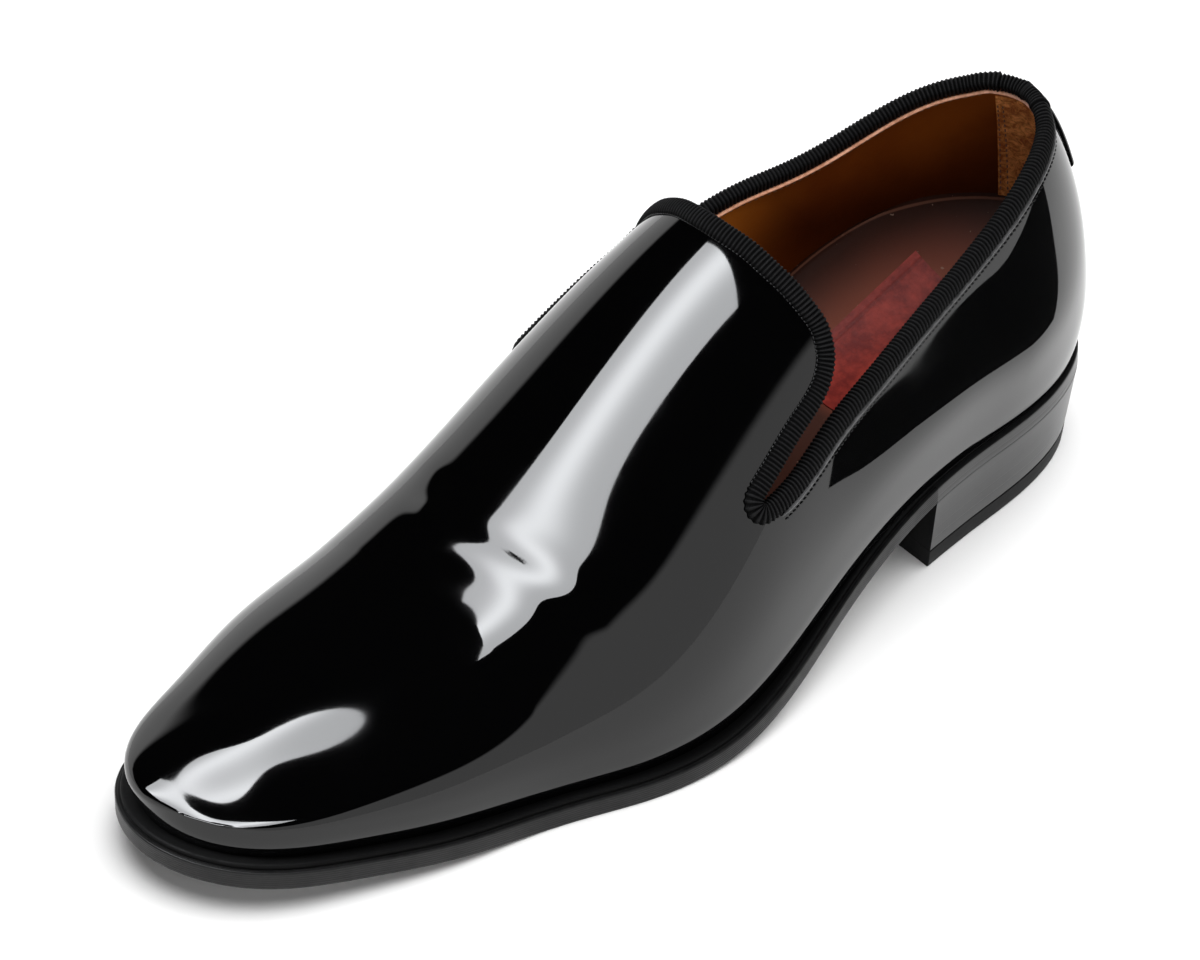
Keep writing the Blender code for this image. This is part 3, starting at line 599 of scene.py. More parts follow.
def creases(p):
    """How far the skin stands off the last, in millimetres, where it is full or a foot has bent it."""
    q = p.reshape(-1, 3)
    rows = np.array(FLEX)
    centre = meet(np.stack([rows[:, 0], rows[:, 1], feather(rows[:, 1]) + 3.0], -1), np.array([0, 0, 1.0]))
    n = normal(centre)
    wide = np.array([1.0, 0, 0]) - n[:, :1] * n
    wide /= np.linalg.norm(wide, axis=1)[:, None]
    ahead = np.cross(n, wide)
    ahead *= np.sign(ahead[:, 1:2])
    off = np.zeros(len(q))
    for c, a, b, (_, _, far, near, turn, high) in zip(centre, wide, ahead, rows):
        d, turn = q - c, math.radians(turn)
        u = d @ (math.cos(turn) * a + math.sin(turn) * b)
        w = d @ (math.cos(turn) * b - math.sin(turn) * a)
        off += high * np.exp(-((u / far) ** 2 + (w / near) ** 2) / 2)
    height = q[:, 2] - feather(q[:, 1])
    off *= ease(height, 1.0, 9.0)
    off += FULLNESS * np.exp(-((height - 24) / 13) ** 2) * ease(q[:, 1], 8, 45) * ease(-q[:, 1], -145, -70)
    return off.reshape(p.shape[:-1])


def nearest(points, line, chunk=4000):
    best = np.empty(len(points))
    for c in range(0, len(points), chunk):
        d = ((points[c:c + chunk, None] - line[None]) ** 2).sum(-1)
        best[c:c + chunk] = np.sqrt(d.min(1))
    return best


RIM = edge_line()
body_rows = np.concatenate([np.arange(TOE_START, 224, -1.3), np.arange(224, 176, -0.75), np.arange(176, HEEL_START, -1.3), [HEEL_START]])
GRID = ribs(66, body_rows, 58, 86, 1.05)
ROWS, COLUMNS = GRID.shape[:2]
GRID_N = normal(GRID)
GRID_OFF = creases(GRID)


def kept_faces():
    """The faces below the middle of the binding."""
    centre = (GRID[:-1, :-1] + GRID[1:, :-1] + GRID[1:, 1:] + GRID[:-1, 1:]) / 4
    dist = nearest(centre.reshape(-1, 3), RIM[::2]).reshape(ROWS - 1, COLUMNS - 1)
    fence = dist < 1.25
    gone = np.zeros_like(fence)
    start = (len(range(66)) + int(np.argmin(abs(body_rows - 75.0))), (COLUMNS - 1) // 2)
    todo = [start]
    gone[start] = True
    while todo:
        i, j = todo.pop()
        for a, b in ((i + 1, j), (i - 1, j), (i, j + 1), (i, j - 1)):
            if 0 <= a < ROWS - 1 and 0 <= b < COLUMNS - 1 and not gone[a, b] and not fence[a, b]:
                gone[a, b] = True
                todo.append((a, b))
    return ~gone


KEEP = kept_faces()
FACES = grid_faces(ROWS, COLUMNS)[KEEP.ravel()]


def upper_skin():
    p = GRID + GRID_N * GRID_OFF[..., None]
    p[:, 0, 2] -= 0.7
    p[:, -1, 2] -= 0.7
    return piece("patent_skin", p.reshape(-1, 3), FACES, PATENT)


def upper_lining():
    p = GRID + GRID_N * (GRID_OFF - WALL)[..., None]
    return piece("lining", p.reshape(-1, 3), FACES, LINING)


# ------------------------------------------------------------------ binding
def at_rim(line, up, out, b, n):
    """Points beside the binding's middle line: b up the upper, n off it."""
    return line + up * np.reshape(b, (-1, 1)) + out * np.reshape(n, (-1, 1))


def binding():
    ahead, up, out = ring_frames(RIM)
    base = RIM + out * creases(RIM)[:, None]
    n = len(RIM)
    length = np.linalg.norm(np.diff(np.vstack([RIM, RIM[:1]]), axis=0), axis=1).sum()
    count = int(length / 1.12) * 5
    t = np.linspace(0, n, count, endpoint=False)
    pick = lambda a: np.stack([np.interp(t, np.arange(n + 1), np.append(a[:, k], a[0, k])) for k in range(3)], -1)
    p, up, out = pick(base), pick(up), pick(out)
    run = np.arange(count) * length / count
    h, proud, deep = BINDING / 2, 1.45, -WALL - 0.55
    mid, thick = (proud + deep) / 2, (proud - deep) / 2
    # section: softly padded sides with a round top fold and thin lower edges
    outline = [(b, proud * math.sqrt(max(0.04, 1 - ((b - 0.3) / (h + 0.35)) ** 2))) for b in np.linspace(-h, h - 1.2, 10)]
    top = outline[-1][1]
    for a in np.linspace(np.pi / 2, -np.pi / 2, 11)[1:-1]:
        side = (top - mid) if a > 0 else thick
        outline.append((h - 1.2 + 1.2 * np.cos(a), mid + side * np.sin(a)))
    outline += [(b, deep + (0.3 if b < -0.9 else 0.0)) for b in np.linspace(h - 1.2, -1.0, 6)]
    outline = np.array(outline)
    phase = 2 * np.pi * np.arange(count) / 5
    ripple = 0.19 * np.cos(phase)
    round_back = np.degrees(np.arctan2(p[:, 0] - float(middle(30.0)), 30.0 - p[:, 1]))
    for fold in PLEATS:
        past = np.where(p[:, 1] < 30, round_back - fold, 999.0)
        ripple += np.where((past > -12) & (past < 0), 0.45 * (1 + past / 12), 0) - 0.5 * np.exp(-(past / 1.2) ** 2)
    q = p[:, None] + outline[None, :, :1] * up[:, None] + outline[None, :, 1:] * out[:, None]
    puff = outline - np.array([0.0, mid])
    puff = puff / np.linalg.norm(puff, axis=1)[:, None]
    q = q + ripple[:, None, None] * (puff[None, :, :1] * up[:, None] + puff[None, :, 1:] * out[:, None])
    v = np.concatenate([[0], np.cumsum(np.linalg.norm(np.diff(outline, axis=0), axis=1))])
    uv = np.stack(np.broadcast_arrays((phase / (2 * np.pi))[:, None], v[None, :]), -1)
    return piece("ribbon_binding", q.reshape(-1, 3), grid_faces(count, len(outline), True, True), RIBBON, uv.reshape(-1, 2), merge=False)


def quarter_line():
    """The part of the rim between the two notches, round the back."""
    half_way = RIM[:, 0] - middle(RIM[:, 1])
    first = int(np.argmax(np.where(half_way > 0, RIM[:, 1], 0)))
    last = int(np.argmax(np.where(half_way < 0, RIM[:, 1], 0)))
    return np.arange(first, last)


def swept_bead(name, line, up, out, radius, finish, sides=8):
    turn = np.linspace(0, 2 * np.pi, sides, endpoint=False)
    taper = np.sqrt(np.clip(np.minimum(np.arange(len(line)), np.arange(len(line))[::-1]) / 12, 0.02, 1))
    q = line[:, None] + (radius * taper)[:, None, None] * (np.cos(turn)[None, :, None] * up[:, None] + np.sin(turn)[None, :, None] * out[:, None])
    return piece(name, q.reshape(-1, 3), grid_faces(len(line), sides, False, True), finish, merge=False)


def stitches(name, line, out, pitch, length, radius, finish):
    """A row of small spindle stitches along a line."""
    run = np.concatenate([[0], np.cumsum(np.linalg.norm(np.diff(line, axis=0), axis=1))])
    at = np.arange(pitch, run[-1] - pitch, pitch)
    pick = lambda a: np.stack([np.interp(at, run, a[:, k]) for k in range(3)], -1)
    c, n, t = pick(line), pick(out), pick(np.gradient(line, axis=0))
    t /= np.linalg.norm(t, axis=1)[:, None]
    n -= (n * t).sum(1)[:, None] * t
    n /= np.linalg.norm(n, axis=1)[:, None]
    b = np.cross(t, n)
    turn = np.linspace(0, 2 * np.pi, 6, endpoint=False)
    points, faces = [], []
    for share, size, dip in ((-0.5, 0.35, -0.8), (-0.28, 1.0, 0.0), (0.28, 1.0, 0.0), (0.5, 0.35, -0.8)):
        ring = c + t * (length * share) + n * (radius * dip)
        points.append(ring[:, None] + radius * size * (np.cos(turn)[None, :, None] * b[:, None] + np.sin(turn)[None, :, None] * n[:, None]))
    points = np.stack(points, 1)
    for k in range(len(c)):
        first = k * 24
        for r in range(3):
            for i in range(6):
                j = (i + 1) % 6
                faces.append([first + r * 6 + i, first + r * 6 + j, first + r * 6 + 6 + j, first + r * 6 + 6 + i])
        faces.append([first + i for i in range(5, -1, -1)])
        faces.append([first + 18 + i for i in range(6)])
    return piece(name, points.reshape(-1, 3), faces, finish, merge=False)


def edge_details():
    """Bead and stitch rows that follow the binding, and the lining's cut edge inside it."""
    ahead, up, out = ring_frames(RIM)
    base = RIM + out * creases(RIM)[:, None]
    low = -BINDING / 2
    q = quarter_line()[30:-30]
    made = [swept_bead("top_bead", at_rim(base, up, out, low - 0.55, 0.25)[q], up[q], out[q], 0.55, BEAD)]
    made.append(stitches("quarter_stitches", at_rim(base, up, out, low - 2.2, 0.04)[q], out[q], 1.45, 1.05, 0.18, THREAD))
    flap = np.concatenate([np.arange(quarter_line()[-1] + 14, len(RIM)), np.arange(0, quarter_line()[0] - 14)])
    made.append(stitches("flap_stitches", at_rim(base, up, out, low - 0.02, 0.12)[flap], out[flap], 1.12, 0.8, 0.16, THREAD))
    inner = at_rim(base, up, out, -1.35, -WALL - 0.75)[::2]
    made.append(swept_ring("lining_edge", inner, up[::2], out[::2], 0.38, 0.55, CUT_EDGE))
    made.append(stitches("lining_stitches", at_rim(base, up, out, -3.6, -WALL - 0.05), -out, 1.9, 1.35, 0.16, PALE_THREAD))
    return made


def swept_ring(name, line, up, out, tall, thick, finish, sides=8):
    turn = np.linspace(0, 2 * np.pi, sides, endpoint=False)
    q = line[:, None] + tall * np.cos(turn)[None, :, None] * up[:, None] + thick * np.sin(turn)[None, :, None] * out[:, None]
    return piece(name, q.reshape(-1, 3), grid_faces(len(line), sides, True, True), finish, merge=False)


# ------------------------------------------------------------------ sole, welt and heel
def plan_ring(count, extra):
    """Closed outline in plan from the heel along the outer side to the toe and back."""
    u = np.linspace(0, np.pi, count)
    s = LAST_LENGTH * (1 - np.cos(u)) / 2
    toe = np.clip((s - TOE_START) / (LAST_LENGTH - TOE_START), 0, 1)
    heel = np.clip((HEEL_START - s) / HEEL_START, 0, 1)
    w = half(s) * np.clip(1 - toe**ROUND_TOE - heel**ROUND_HEEL, 0, 1) ** (1 / ROUND_ACROSS)
    ring = np.concatenate([np.c_[middle(s) + w, s], np.c_[middle(s) - w, s][-2:0:-1]])
    step = np.roll(ring, -1, 0) - np.roll(ring, 1, 0)
    out = np.c_[step[:, 1], -step[:, 0]]
    out /= np.linalg.norm(out, axis=1)[:, None]
    return ring + out * extra(ring[:, 1])[:, None]


def ring_run(ring):
    return np.concatenate([[0], np.cumsum(np.linalg.norm(np.diff(ring, axis=0), axis=1))])


def lofted(name, levels, count, finish, base=under, cap=True, sharp=None, shape=None):
    """Rings one above the other, capped across at both ends. levels: offset and height."""
    rings, uvs = [], []
    v = 0.0
    for k, (extra, height) in enumerate(levels):
        ring = plan_ring(count, lambda s, e=extra: reach(s) + e)
        pts = np.c_[ring, base(ring[:, 1]) + height]
        rings.append(pts)
        if k:
            v += math.hypot(extra - levels[k - 1][0], height - levels[k - 1][1])
        uvs.append(np.c_[ring_run(ring), np.full(len(ring), v)])
    rings, uvs = np.array(rings), np.array(uvs)
    m = rings.shape[1]
    faces = grid_faces(len(levels), m, False, True).tolist()
    if cap:
        for k in (0, len(levels) - 1):
            for i in range(count - 1):
                a, b = i, i + 1
                c, d = (m - i) % m, (m - i - 1) % m
                face = [k * m + q for q in (a, b, d, c)]
                face = list(dict.fromkeys(face))
                if len(face) > 2:
                    faces.append(face)
    return piece(name, rings.reshape(-1, 3), faces, finish, uvs.reshape(-1, 2), sharp=sharp, merge=False)


def outsole():
    levels = [(-2.0, 0.0), (-0.35, 0.02), (-0.12, 0.12), (0.0, 0.4), (0.0, 1.5), (0.0, 2.6), (0.0, 3.7), (0.0, 4.45),
              (-0.1, 4.75), (-0.3, 4.88), (-0.7, 4.9), (-2.2, 4.9)]
    made = lofted("outsole_edge", levels, 220, EDGE, sharp=0.9)
    made.data.materials.append(UNDER)
    made.data.materials.append(HEEL)
    breast = (FRAME_S - HEEL_LENGTH) * 0.001
    for face in made.data.polygons:
        face.material_index = 1 if face.normal.z < -0.85 else 2 if face.center.y > breast else 0
    return made


def welt():
    levels = [(-2.6, 4.85), (-1.45, 4.9), (-1.35, 5.4), (-1.4, 5.9), (-1.7, 6.25), (-2.2, 6.35), (-4.5, 6.35), (-9.0, 6.3)]
    return lofted("welt_strip", levels, 220, WELT, sharp=0.9)


def heel_ring(count, extra, z):
    ring = plan_ring(count, lambda s: reach(s) + extra)
    keep = ring[ring[:, 1] < HEEL_LENGTH - 0.8]
    # outer side first from the back, then the breast, then the inner side
    outer = ring[:count][ring[:count, 1] < HEEL_LENGTH - 0.8]
    inner_all = np.concatenate([ring[:1], ring[count:][::-1]])
    inner = inner_all[inner_all[:, 1] < HEEL_LENGTH - 0.8]

    def at_breast(side):
        i = np.searchsorted(side[:, 1], HEEL_LENGTH)
        f = (HEEL_LENGTH - side[i - 1, 1]) / (side[i, 1] - side[i - 1, 1])
        return side[i - 1] + f * (side[i] - side[i - 1])

    a, b = at_breast(ring[:count][:-1]), at_breast(inner_all)
    t = np.linspace(0, 1, 15)[:, None]
    breast = a + (b - a) * t
    breast[:, 1] -= 1.6 * (1 - (2 * t[:, 0] - 1) ** 2)
    loop = np.concatenate([outer, breast, inner[:0:-1]])
    drop = np.clip(1 - z / 22.0, 0, 1)
    pivot_x, pivot_s = float(middle(40.0)), 40.0
    x = pivot_x + (loop[:, 0] - pivot_x) * (1 - HEEL_TAPER * drop)
    s = np.where(loop[:, 1] < pivot_s, pivot_s + (loop[:, 1] - pivot_s) * (1 - HEEL_TAPER * drop),
                 loop[:, 1] - drop * (loop[:, 1] - pivot_s) / (HEEL_LENGTH - pivot_s))
    return np.c_[x, s]


def heel_piece(name, levels, finish):
    rings, uvs, v = [], [], 0.0
    for k, (extra, z) in enumerate(levels):
        ring = heel_ring(420, extra, z)
        height = np.where(z > 20, under(ring[:, 1]) - (22.0 - z), z)
        rings.append(np.c_[ring, height])
        if k:
            v += math.hypot(extra - levels[k - 1][0], z - levels[k - 1][1])
        uvs.append(np.c_[ring_run(ring), np.full(len(ring), v)])
    m = len(rings[0])
    faces = grid_faces(len(levels), m, False, True).tolist()
    faces += [list(range(m)), [(len(levels) - 1) * m + i for i in range(m)]]
    return piece(name, np.concatenate(rings), faces, finish, np.concatenate(uvs), sharp=0.6, merge=False)


def heel():
    stack = heel_piece("heel_stack_look", [(-0.7, TOP_LIFT + 0.05), (-0.35, TOP_LIFT + 0.25), (-0.3, TOP_LIFT + 0.6), (-0.2, 10.0), (-0.1, 16.0), (0.0, 21.5), (0.03, 21.9), (0.03, 22.35)], HEEL)
    stack.data.materials.append(RUBBER)
    for face in stack.data.polygons:
        face.material_index = 1 if face.normal.y < -0.75 else 0
    lift = heel_piece("top_lift_look", [(-0.9, 0.0), (-0.45, 0.25), (-0.3, 0.8), (-0.25, 3.0), (-0.3, TOP_LIFT - 0.35), (-0.6, TOP_LIFT - 0.05)], RUBBER)
    return stack, lift


# ------------------------------------------------------------------ inside
bed_middle = curve_through([r[0] for r in FOOTBED], [r[1] for r in FOOTBED])
bed_cup = curve_through([r[0] for r in FOOTBED], [r[2] for r in FOOTBED])


def footbed(x, s):
    """Height of the footbed, cupped up to the walls under the heel and thin ahead of it."""
    thin = feather(s) + 2.9
    back = np.clip((HEEL_START - s) / HEEL_START, 0, 1)
    rim = np.clip(((x - middle(s)) / (half(s) - WALL)) ** 2 + back**ROUND_HEEL, 0, 1.05)
    full = bed_middle(np.clip(s, 0, 125)) + np.clip(bed_cup(np.clip(s, 0, 125)), 0, None) * rim - thin
    return thin + (full + np.sqrt(full**2 + 2.0)) / 2 * ease(-s, -128, -96)


def insole():
    """Sock over the footbed, up to the lining all round."""
    turn_toe = np.linspace(np.pi / 2, 0, 30, endpoint=False)
    rows = np.arange(236.0, 50.0, -2.5)
    turn_heel = np.linspace(0, np.pi / 2, 41)
    centre_s = np.concatenate([0 * turn_toe + 238.0, rows, 0 * turn_heel + 48.0])
    heading = np.concatenate([turn_toe, 0 * rows, -turn_heel])
    share = np.concatenate([np.linspace(0, 0.9, 15), [0.95, 0.98, 1.0]])
    sides = []
    for side in (1.0, -1.0):
        way = np.stack([side * np.cos(heading), np.sin(heading), 0 * heading], -1)
        centre = np.stack([middle(centre_s), centre_s, footbed(middle(centre_s), centre_s)], -1)
        edge = centre + way * 30
        for _ in range(4):
            start = centre.copy()
            start[:, 2] = footbed(edge[:, 0], edge[:, 1])
            edge = meet(start, way)
            edge = edge + normal(edge) * (creases(edge) - WALL + 0.35)[:, None]
        p = centre[:, None] + share[None, :, None] * (edge - centre)[:, None]
        p[..., 2] = footbed(p[..., 0], p[..., 1]) - 0.9 * ease(share, 0.93, 1.0)[None]
        low = edge.copy()
        low[:, 2] = feather(edge[:, 1]) + 0.3
        low[:, :2] += (centre - edge)[:, :2] * 0.10
        low_mid = low.copy()
        low_mid[:, :2] = centre[:, :2]
        low_mid[:, 2] = feather(centre_s) + 0.3
        sides.append(np.concatenate([p, low[:, None], low_mid[:, None]], 1))
    points = np.concatenate([sides[0].reshape(-1, 3), sides[1].reshape(-1, 3)])
    faces = grid_faces(len(heading), len(share) + 2)
    faces = np.concatenate([faces, faces[:, ::-1] + sides[0].shape[0] * sides[0].shape[1]])
    mark = np.stack(np.broadcast_arrays(np.arange(len(heading))[:, None] / len(heading), np.append(share, (1.0, 0.5))[None]), -1).reshape(-1, 2)
    return piece("insole_sock", points, faces, SOCK, np.concatenate([mark, mark]), sharp=0.8)


def label():
    """Plain red patch on the sock, straight behind and round in front."""
    s = np.concatenate([np.linspace(36.2, 64.0, 24), 65.0 + 17.0 * np.sin(np.linspace(0, np.pi / 2 - 0.04, 22))])
    w = 16.5 * np.sqrt(1 - (np.clip(s - 65.0, 0, None) / 17.0) ** 2)
    x = -0.3 + w[:, None] * np.linspace(-1, 1, 25)[None, :]
    s = np.broadcast_to(s[:, None], x.shape)
    top = np.stack([x, s, footbed(x, s) + 0.42], -1)
    low = top.copy()
    low[..., 2] -= 0.6
    n, (r, c) = x.size, x.shape
    faces = grid_faces(r, c).tolist() + (grid_faces(r, c) + n)[:, ::-1].tolist()
    ring = list(range(c)) + [i * c + c - 1 for i in range(1, r)] + [(r - 1) * c + j for j in range(c - 2, -1, -1)] + [i * c for i in range(r - 2, 0, -1)]
    faces += [[ring[k], ring[(k + 1) % len(ring)], ring[(k + 1) % len(ring)] + n, ring[k] + n] for k in range(len(ring))]
    uv = np.stack([np.broadcast_to(np.linspace(-1, 1, c)[None], (r, c)) * (w / 16.5)[:, None], s], -1).reshape(-1, 2)
    return piece("label_patch", np.concatenate([top.reshape(-1, 3), low.reshape(-1, 3)]), faces, LABEL, np.concatenate([uv, uv]), merge=False, sharp=0.6)


def heel_grip():
    """Napped patch inside the back, sewn at its two ends."""
    rim_top = nearest_height
    angle = np.radians(np.linspace(-36, 47, 60))
    lift = np.linspace(0, 1, 26)
    hub = np.stack([np.full(60, float(middle(30.0))), np.full(60, 30.0), np.full(60, 70.0)], -1)
    way = np.stack([np.sin(angle), -np.cos(angle), 0 * angle], -1)
    layers = []
    for depth in (WALL + 0.5, WALL - 0.2):
        grid = []
        for k in lift:
            start = hub.copy()
            start[:, 2] = 56.0 + k * (rim_top(angle) - 4.3 - 56.0)
            p = meet(start, way)
            grid.append(p + normal(p) * (creases(p) - depth)[:, None])
        layers.append(np.array(grid))
    r, c = layers[0].shape[:2]
    n = r * c
    faces = grid_faces(r, c).tolist() + (grid_faces(r, c) + n)[:, ::-1].tolist()
    ring = list(range(c)) + [i * c + c - 1 for i in range(1, r)] + [(r - 1) * c + j for j in range(c - 2, -1, -1)] + [i * c for i in range(r - 2, 0, -1)]
    faces += [[ring[k], ring[(k + 1) % len(ring)], ring[(k + 1) % len(ring)] + n, ring[k] + n] for k in range(len(ring))]
    made = [piece("heel_grip", np.concatenate([q.reshape(-1, 3) for q in layers]), faces, SUEDE, merge=False, sharp=0.7)]
    for name, columns in (("grip_stitches_in", (1, 4)), ("grip_stitches_out", (c - 2, c - 5))):
        for k, j in enumerate(columns):
            line = layers[0][2:-1, j]
            made.append(stitches(f"{name}_{k}", line, -normal(line), 1.9, 1.3, 0.2, PALE_THREAD))
    return made


def back_tab():
    """Small strip on the back of the heel, under the binding, with rounded edges."""
    count = 41
    share = (1 - np.cos(np.linspace(0, np.pi, count))) / 2
    z = BACK_TOP - BINDING - 0.9 - STRIP_HEIGHT * share[:, None] + np.zeros((count, count))
    x = (share[None, :] - 0.5) * STRIP_WIDTH + 0 * z
    p = meet(np.stack([x * 0.35, 30.0 + 0 * z, z], -1), np.stack([x * 0.65 / 24, -1.0 + 0 * z, 0 * z], -1))
    n = normal(p)
    rim = 0.5 - np.abs(share - 0.5)
    inset = np.minimum(rim[:, None] * STRIP_HEIGHT, rim[None, :] * STRIP_WIDTH)
    swell = STRIP_THICK * np.sqrt(1 - (1 - np.clip(inset / 0.9, 0, 1)) ** 2)
    outer = p + n * (0.32 + swell)[..., None]
    inner = p + n * 0.1
    m = count * count
    ring = list(range(count)) + [i * count + count - 1 for i in range(1, count)]
    ring += [(count - 1) * count + j for j in range(count - 2, -1, -1)] + [i * count for i in range(count - 2, 0, -1)]
    faces = grid_faces(count, count).tolist() + (grid_faces(count, count) + m)[:, ::-1].tolist()
    faces += [[ring[k], ring[(k + 1) % len(ring)], ring[(k + 1) % len(ring)] + m, ring[k] + m] for k in range(len(ring))]
    return piece("back_tab", np.concatenate([outer.reshape(-1, 3), inner.reshape(-1, 3)]), faces, PATENT, merge=False, sharp=1.0)


def nearest_height(angle):
    """Height of the binding's middle line in a direction from the inside of the heel."""
    back = RIM[RIM[:, 1] < 45]
    seen = np.arctan2(back[:, 0] - float(middle(30.0)), 30.0 - back[:, 1])
    order = np.argsort(seen)
    return np.interp(angle, seen[order], back[order, 2])


# ------------------------------------------------------------------ put together
skin = upper_skin()
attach(skin, "root")
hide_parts("upper")
inside = upper_lining()
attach(inside, "root")
ribbon = binding()
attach(ribbon, "root")
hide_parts("binding")
sole = outsole()
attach(sole, "root")
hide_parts("outsole")
strip = welt()
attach(strip, "root")
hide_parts("welt")
stack, lift = heel()
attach(stack, "root")
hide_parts("heel_stack")
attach(lift, "root")
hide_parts("top_lift")
sock = insole()
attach(sock, "root")
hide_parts("insole")
patch = label()
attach(patch, "root")
for made in edge_details() + heel_grip():
    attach(made, "root")
tab = back_tab()
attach(tab, "root")
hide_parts("back_strip")


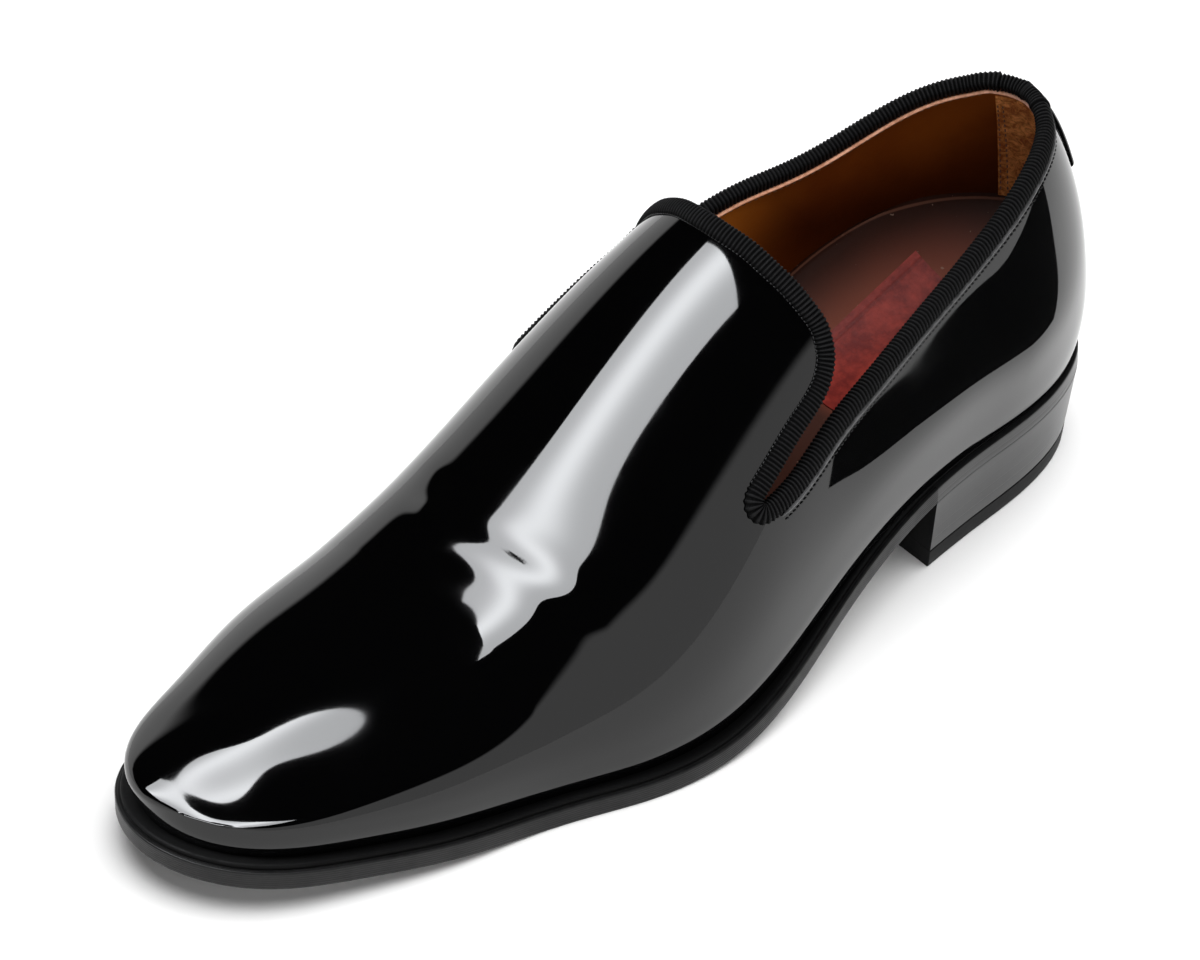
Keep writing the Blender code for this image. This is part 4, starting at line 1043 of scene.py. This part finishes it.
# ------------------------------------------------------------------ studio
def studio():
    scene = bpy.context.scene
    scene.view_settings.view_transform = "Standard"
    scene.view_settings.look = "None"
    world = bpy.data.worlds.new("studio")
    scene.world = world
    world.use_nodes = True
    tree = world.node_tree
    back = tree.nodes["Background"]
    coord = tree.nodes.new("ShaderNodeTexCoord").outputs["Generated"]

    def dot(v):
        made = tree.nodes.new("ShaderNodeVectorMath")
        made.operation = "DOT_PRODUCT"
        tree.links.new(coord, made.inputs[0])
        made.inputs[1].default_value = v
        return made.outputs["Value"]

    def math_node(op, a, b):
        made = tree.nodes.new("ShaderNodeMath")
        made.operation = op
        for socket, value in zip(made.inputs, (a, b)):
            if isinstance(value, (int, float)):
                socket.default_value = value
            else:
                tree.links.new(value, socket)
        return made.outputs[0]

    # pale walls, low behind the object and higher behind the camera, under a dark ceiling
    walls = []
    for azimuth, tangent in ((55.0, 0.90), (-125.0, 0.45)):
        a = math.radians(azimuth)
        walls.append(dot((math.sin(a) * tangent, -math.cos(a) * tangent, -1.0)))
    edge = math_node("MAXIMUM", walls[0], walls[1])
    soft = tree.nodes.new("ShaderNodeMapRange")
    soft.interpolation_type = "SMOOTHSTEP"
    tree.links.new(edge, soft.inputs["Value"])
    for key, value in (("From Min", -0.03), ("From Max", 0.05), ("To Min", 0.004), ("To Max", 1.0)):
        soft.inputs[key].default_value = value
    tree.links.new(soft.outputs["Result"], back.inputs["Color"])
    back.inputs["Strength"].default_value = 1.0

    # floor
    size = 6.0
    mesh = bpy.data.meshes.new("floor")
    mesh.from_pydata([(-size, -size, 0), (size, -size, 0), (size, size, 0), (-size, size, 0)], [], [(0, 1, 2, 3)])
    floor = bpy.data.objects.new("floor", mesh)
    scene.collection.objects.link(floor)
    pale = bpy.data.materials.new("pale_floor")
    pale.use_nodes = True
    shader = pale.node_tree.nodes["Principled BSDF"]
    shader.inputs["Base Color"].default_value = (0.96, 0.96, 0.96, 1)
    shader.inputs["Roughness"].default_value = 0.9
    shader.inputs["Specular IOR Level"].default_value = 0.0
    mesh.materials.append(pale)

    # large soft box overhead, brightest along its middle, seen in the gloss
    near, far, cells = 330.0, 1340.0, 10
    points, marks = [], []
    for i in range(cells + 1):
        s = near + (far - near) * i / cells
        left, right = -390.0 - 0.48 * s, 600.0 - 0.62 * s
        for j in range(cells + 1):
            points.append(((left + (right - left) * j / cells - FRAME_X) * 0.001, (FRAME_S - s) * 0.001, 1.2))
            marks.append((j / cells, i / cells))
    mesh = bpy.data.meshes.new("soft_box")
    mesh.from_pydata(points, [], grid_faces(cells + 1, cells + 1).tolist())
    layer = mesh.uv_layers.new(name="run")
    loops = np.empty(len(mesh.loops), np.int32)
    mesh.loops.foreach_get("vertex_index", loops)
    layer.data.foreach_set("uv", np.array(marks)[loops].astype(np.float32).ravel())
    box = bpy.data.objects.new("soft_box", mesh)
    scene.collection.objects.link(box)
    glow = Finish("soft_box_glow", (0, 0, 0), 1.0)
    u, v = glow.run()
    off = glow.math("DIVIDE", glow.math("SUBTRACT", u, 0.45), 0.2)
    core = glow.math("EXPONENT", glow.math("MULTIPLY", glow.math("MULTIPLY", off, off), -1.0))
    bright = glow.math("MULTIPLY_ADD", core, 9.0, 10.5)
    emit = glow.node("ShaderNodeEmission")
    emit.inputs["Color"].default_value = (0.955, 0.975, 1.0, 1)
    glow.link(bright, emit.inputs["Strength"])
    glow.link(emit.outputs[0], glow.tree.nodes["Material Output"].inputs["Surface"])
    mesh.materials.append(glow.material)
    box.visible_camera = False
    box.visible_diffuse = False
    box.visible_shadow = False

    # low black card beside the heel, just outside the view, that draws a dark band in the gloss
    mesh = bpy.data.meshes.new("black_card")
    rim = ((56.0, -56.0, 0.5, 80.0), (67.0, -34.0, 0.5, 66.0), (79.0, -12.0, 0.5, 53.0), (95.0, 20.0, 12.5, 42.5), (104.0, 38.0, 15.0, 38.5), (109.0, 48.0, 19.0, 36.0))
    mesh.from_pydata([((x - FRAME_X) * 0.001, (FRAME_S - s) * 0.001, z * 0.001) for x, s, low, top in rim for z in (low, top)], [],
                     [(2 * k, 2 * k + 2, 2 * k + 3, 2 * k + 1) for k in range(len(rim) - 1)])
    card = bpy.data.objects.new("black_card", mesh)
    scene.collection.objects.link(card)
    dark = Finish("black_card", (0.004, 0.004, 0.004), 0.9)
    dark.wire(colour=dark.mix(dark.noise(40.0), (0.003, 0.003, 0.003), (0.006, 0.006, 0.006)))
    mesh.materials.append(dark.material)
    card.visible_camera = False
    card.visible_diffuse = False
    card.visible_shadow = False

    # even top light for the floor and the dull surfaces
    lamp = bpy.data.lights.new("top_light", "SUN")
    lamp.energy = 3.9
    lamp.angle = math.radians(72)
    sun = bpy.data.objects.new("top_light", lamp)
    sun.rotation_euler = (math.radians(-9), math.radians(7), 0)
    sun.visible_glossy = False
    scene.collection.objects.link(sun)

    # camera: the photograph's direction, aimed at the one shoe
    az, el, far = math.radians(48.628), math.radians(36.854), 2000.0
    away = np.array([math.sin(az) * math.cos(el), -math.cos(az) * math.cos(el), math.sin(el)])
    place = np.array([-46.7, -155.2, 30.0]) + away * far
    f_photo, zoom = 6695.0, 1.2
    right = np.cross([0, 0, 1.0], away)
    right /= np.linalg.norm(right)
    up = np.cross(away, right)
    aim = -away + right * ((694.0 - 600) / f_photo) - up * ((499.5 - 480) / f_photo)
    cam = bpy.data.cameras.new("camera")
    cam.sensor_width = 36.0
    cam.lens = f_photo * zoom / 1200 * 36.0
    cam.clip_end = 30.0
    eye = bpy.data.objects.new("camera", cam)
    eye.location = Vector(((place[0] - FRAME_X) * 0.001, (place[1] + FRAME_S) * 0.001, place[2] * 0.001))
    eye.rotation_euler = Vector(aim).to_track_quat("-Z", "Y").to_euler()
    scene.collection.objects.link(eye)
    scene.camera = eye


studio()
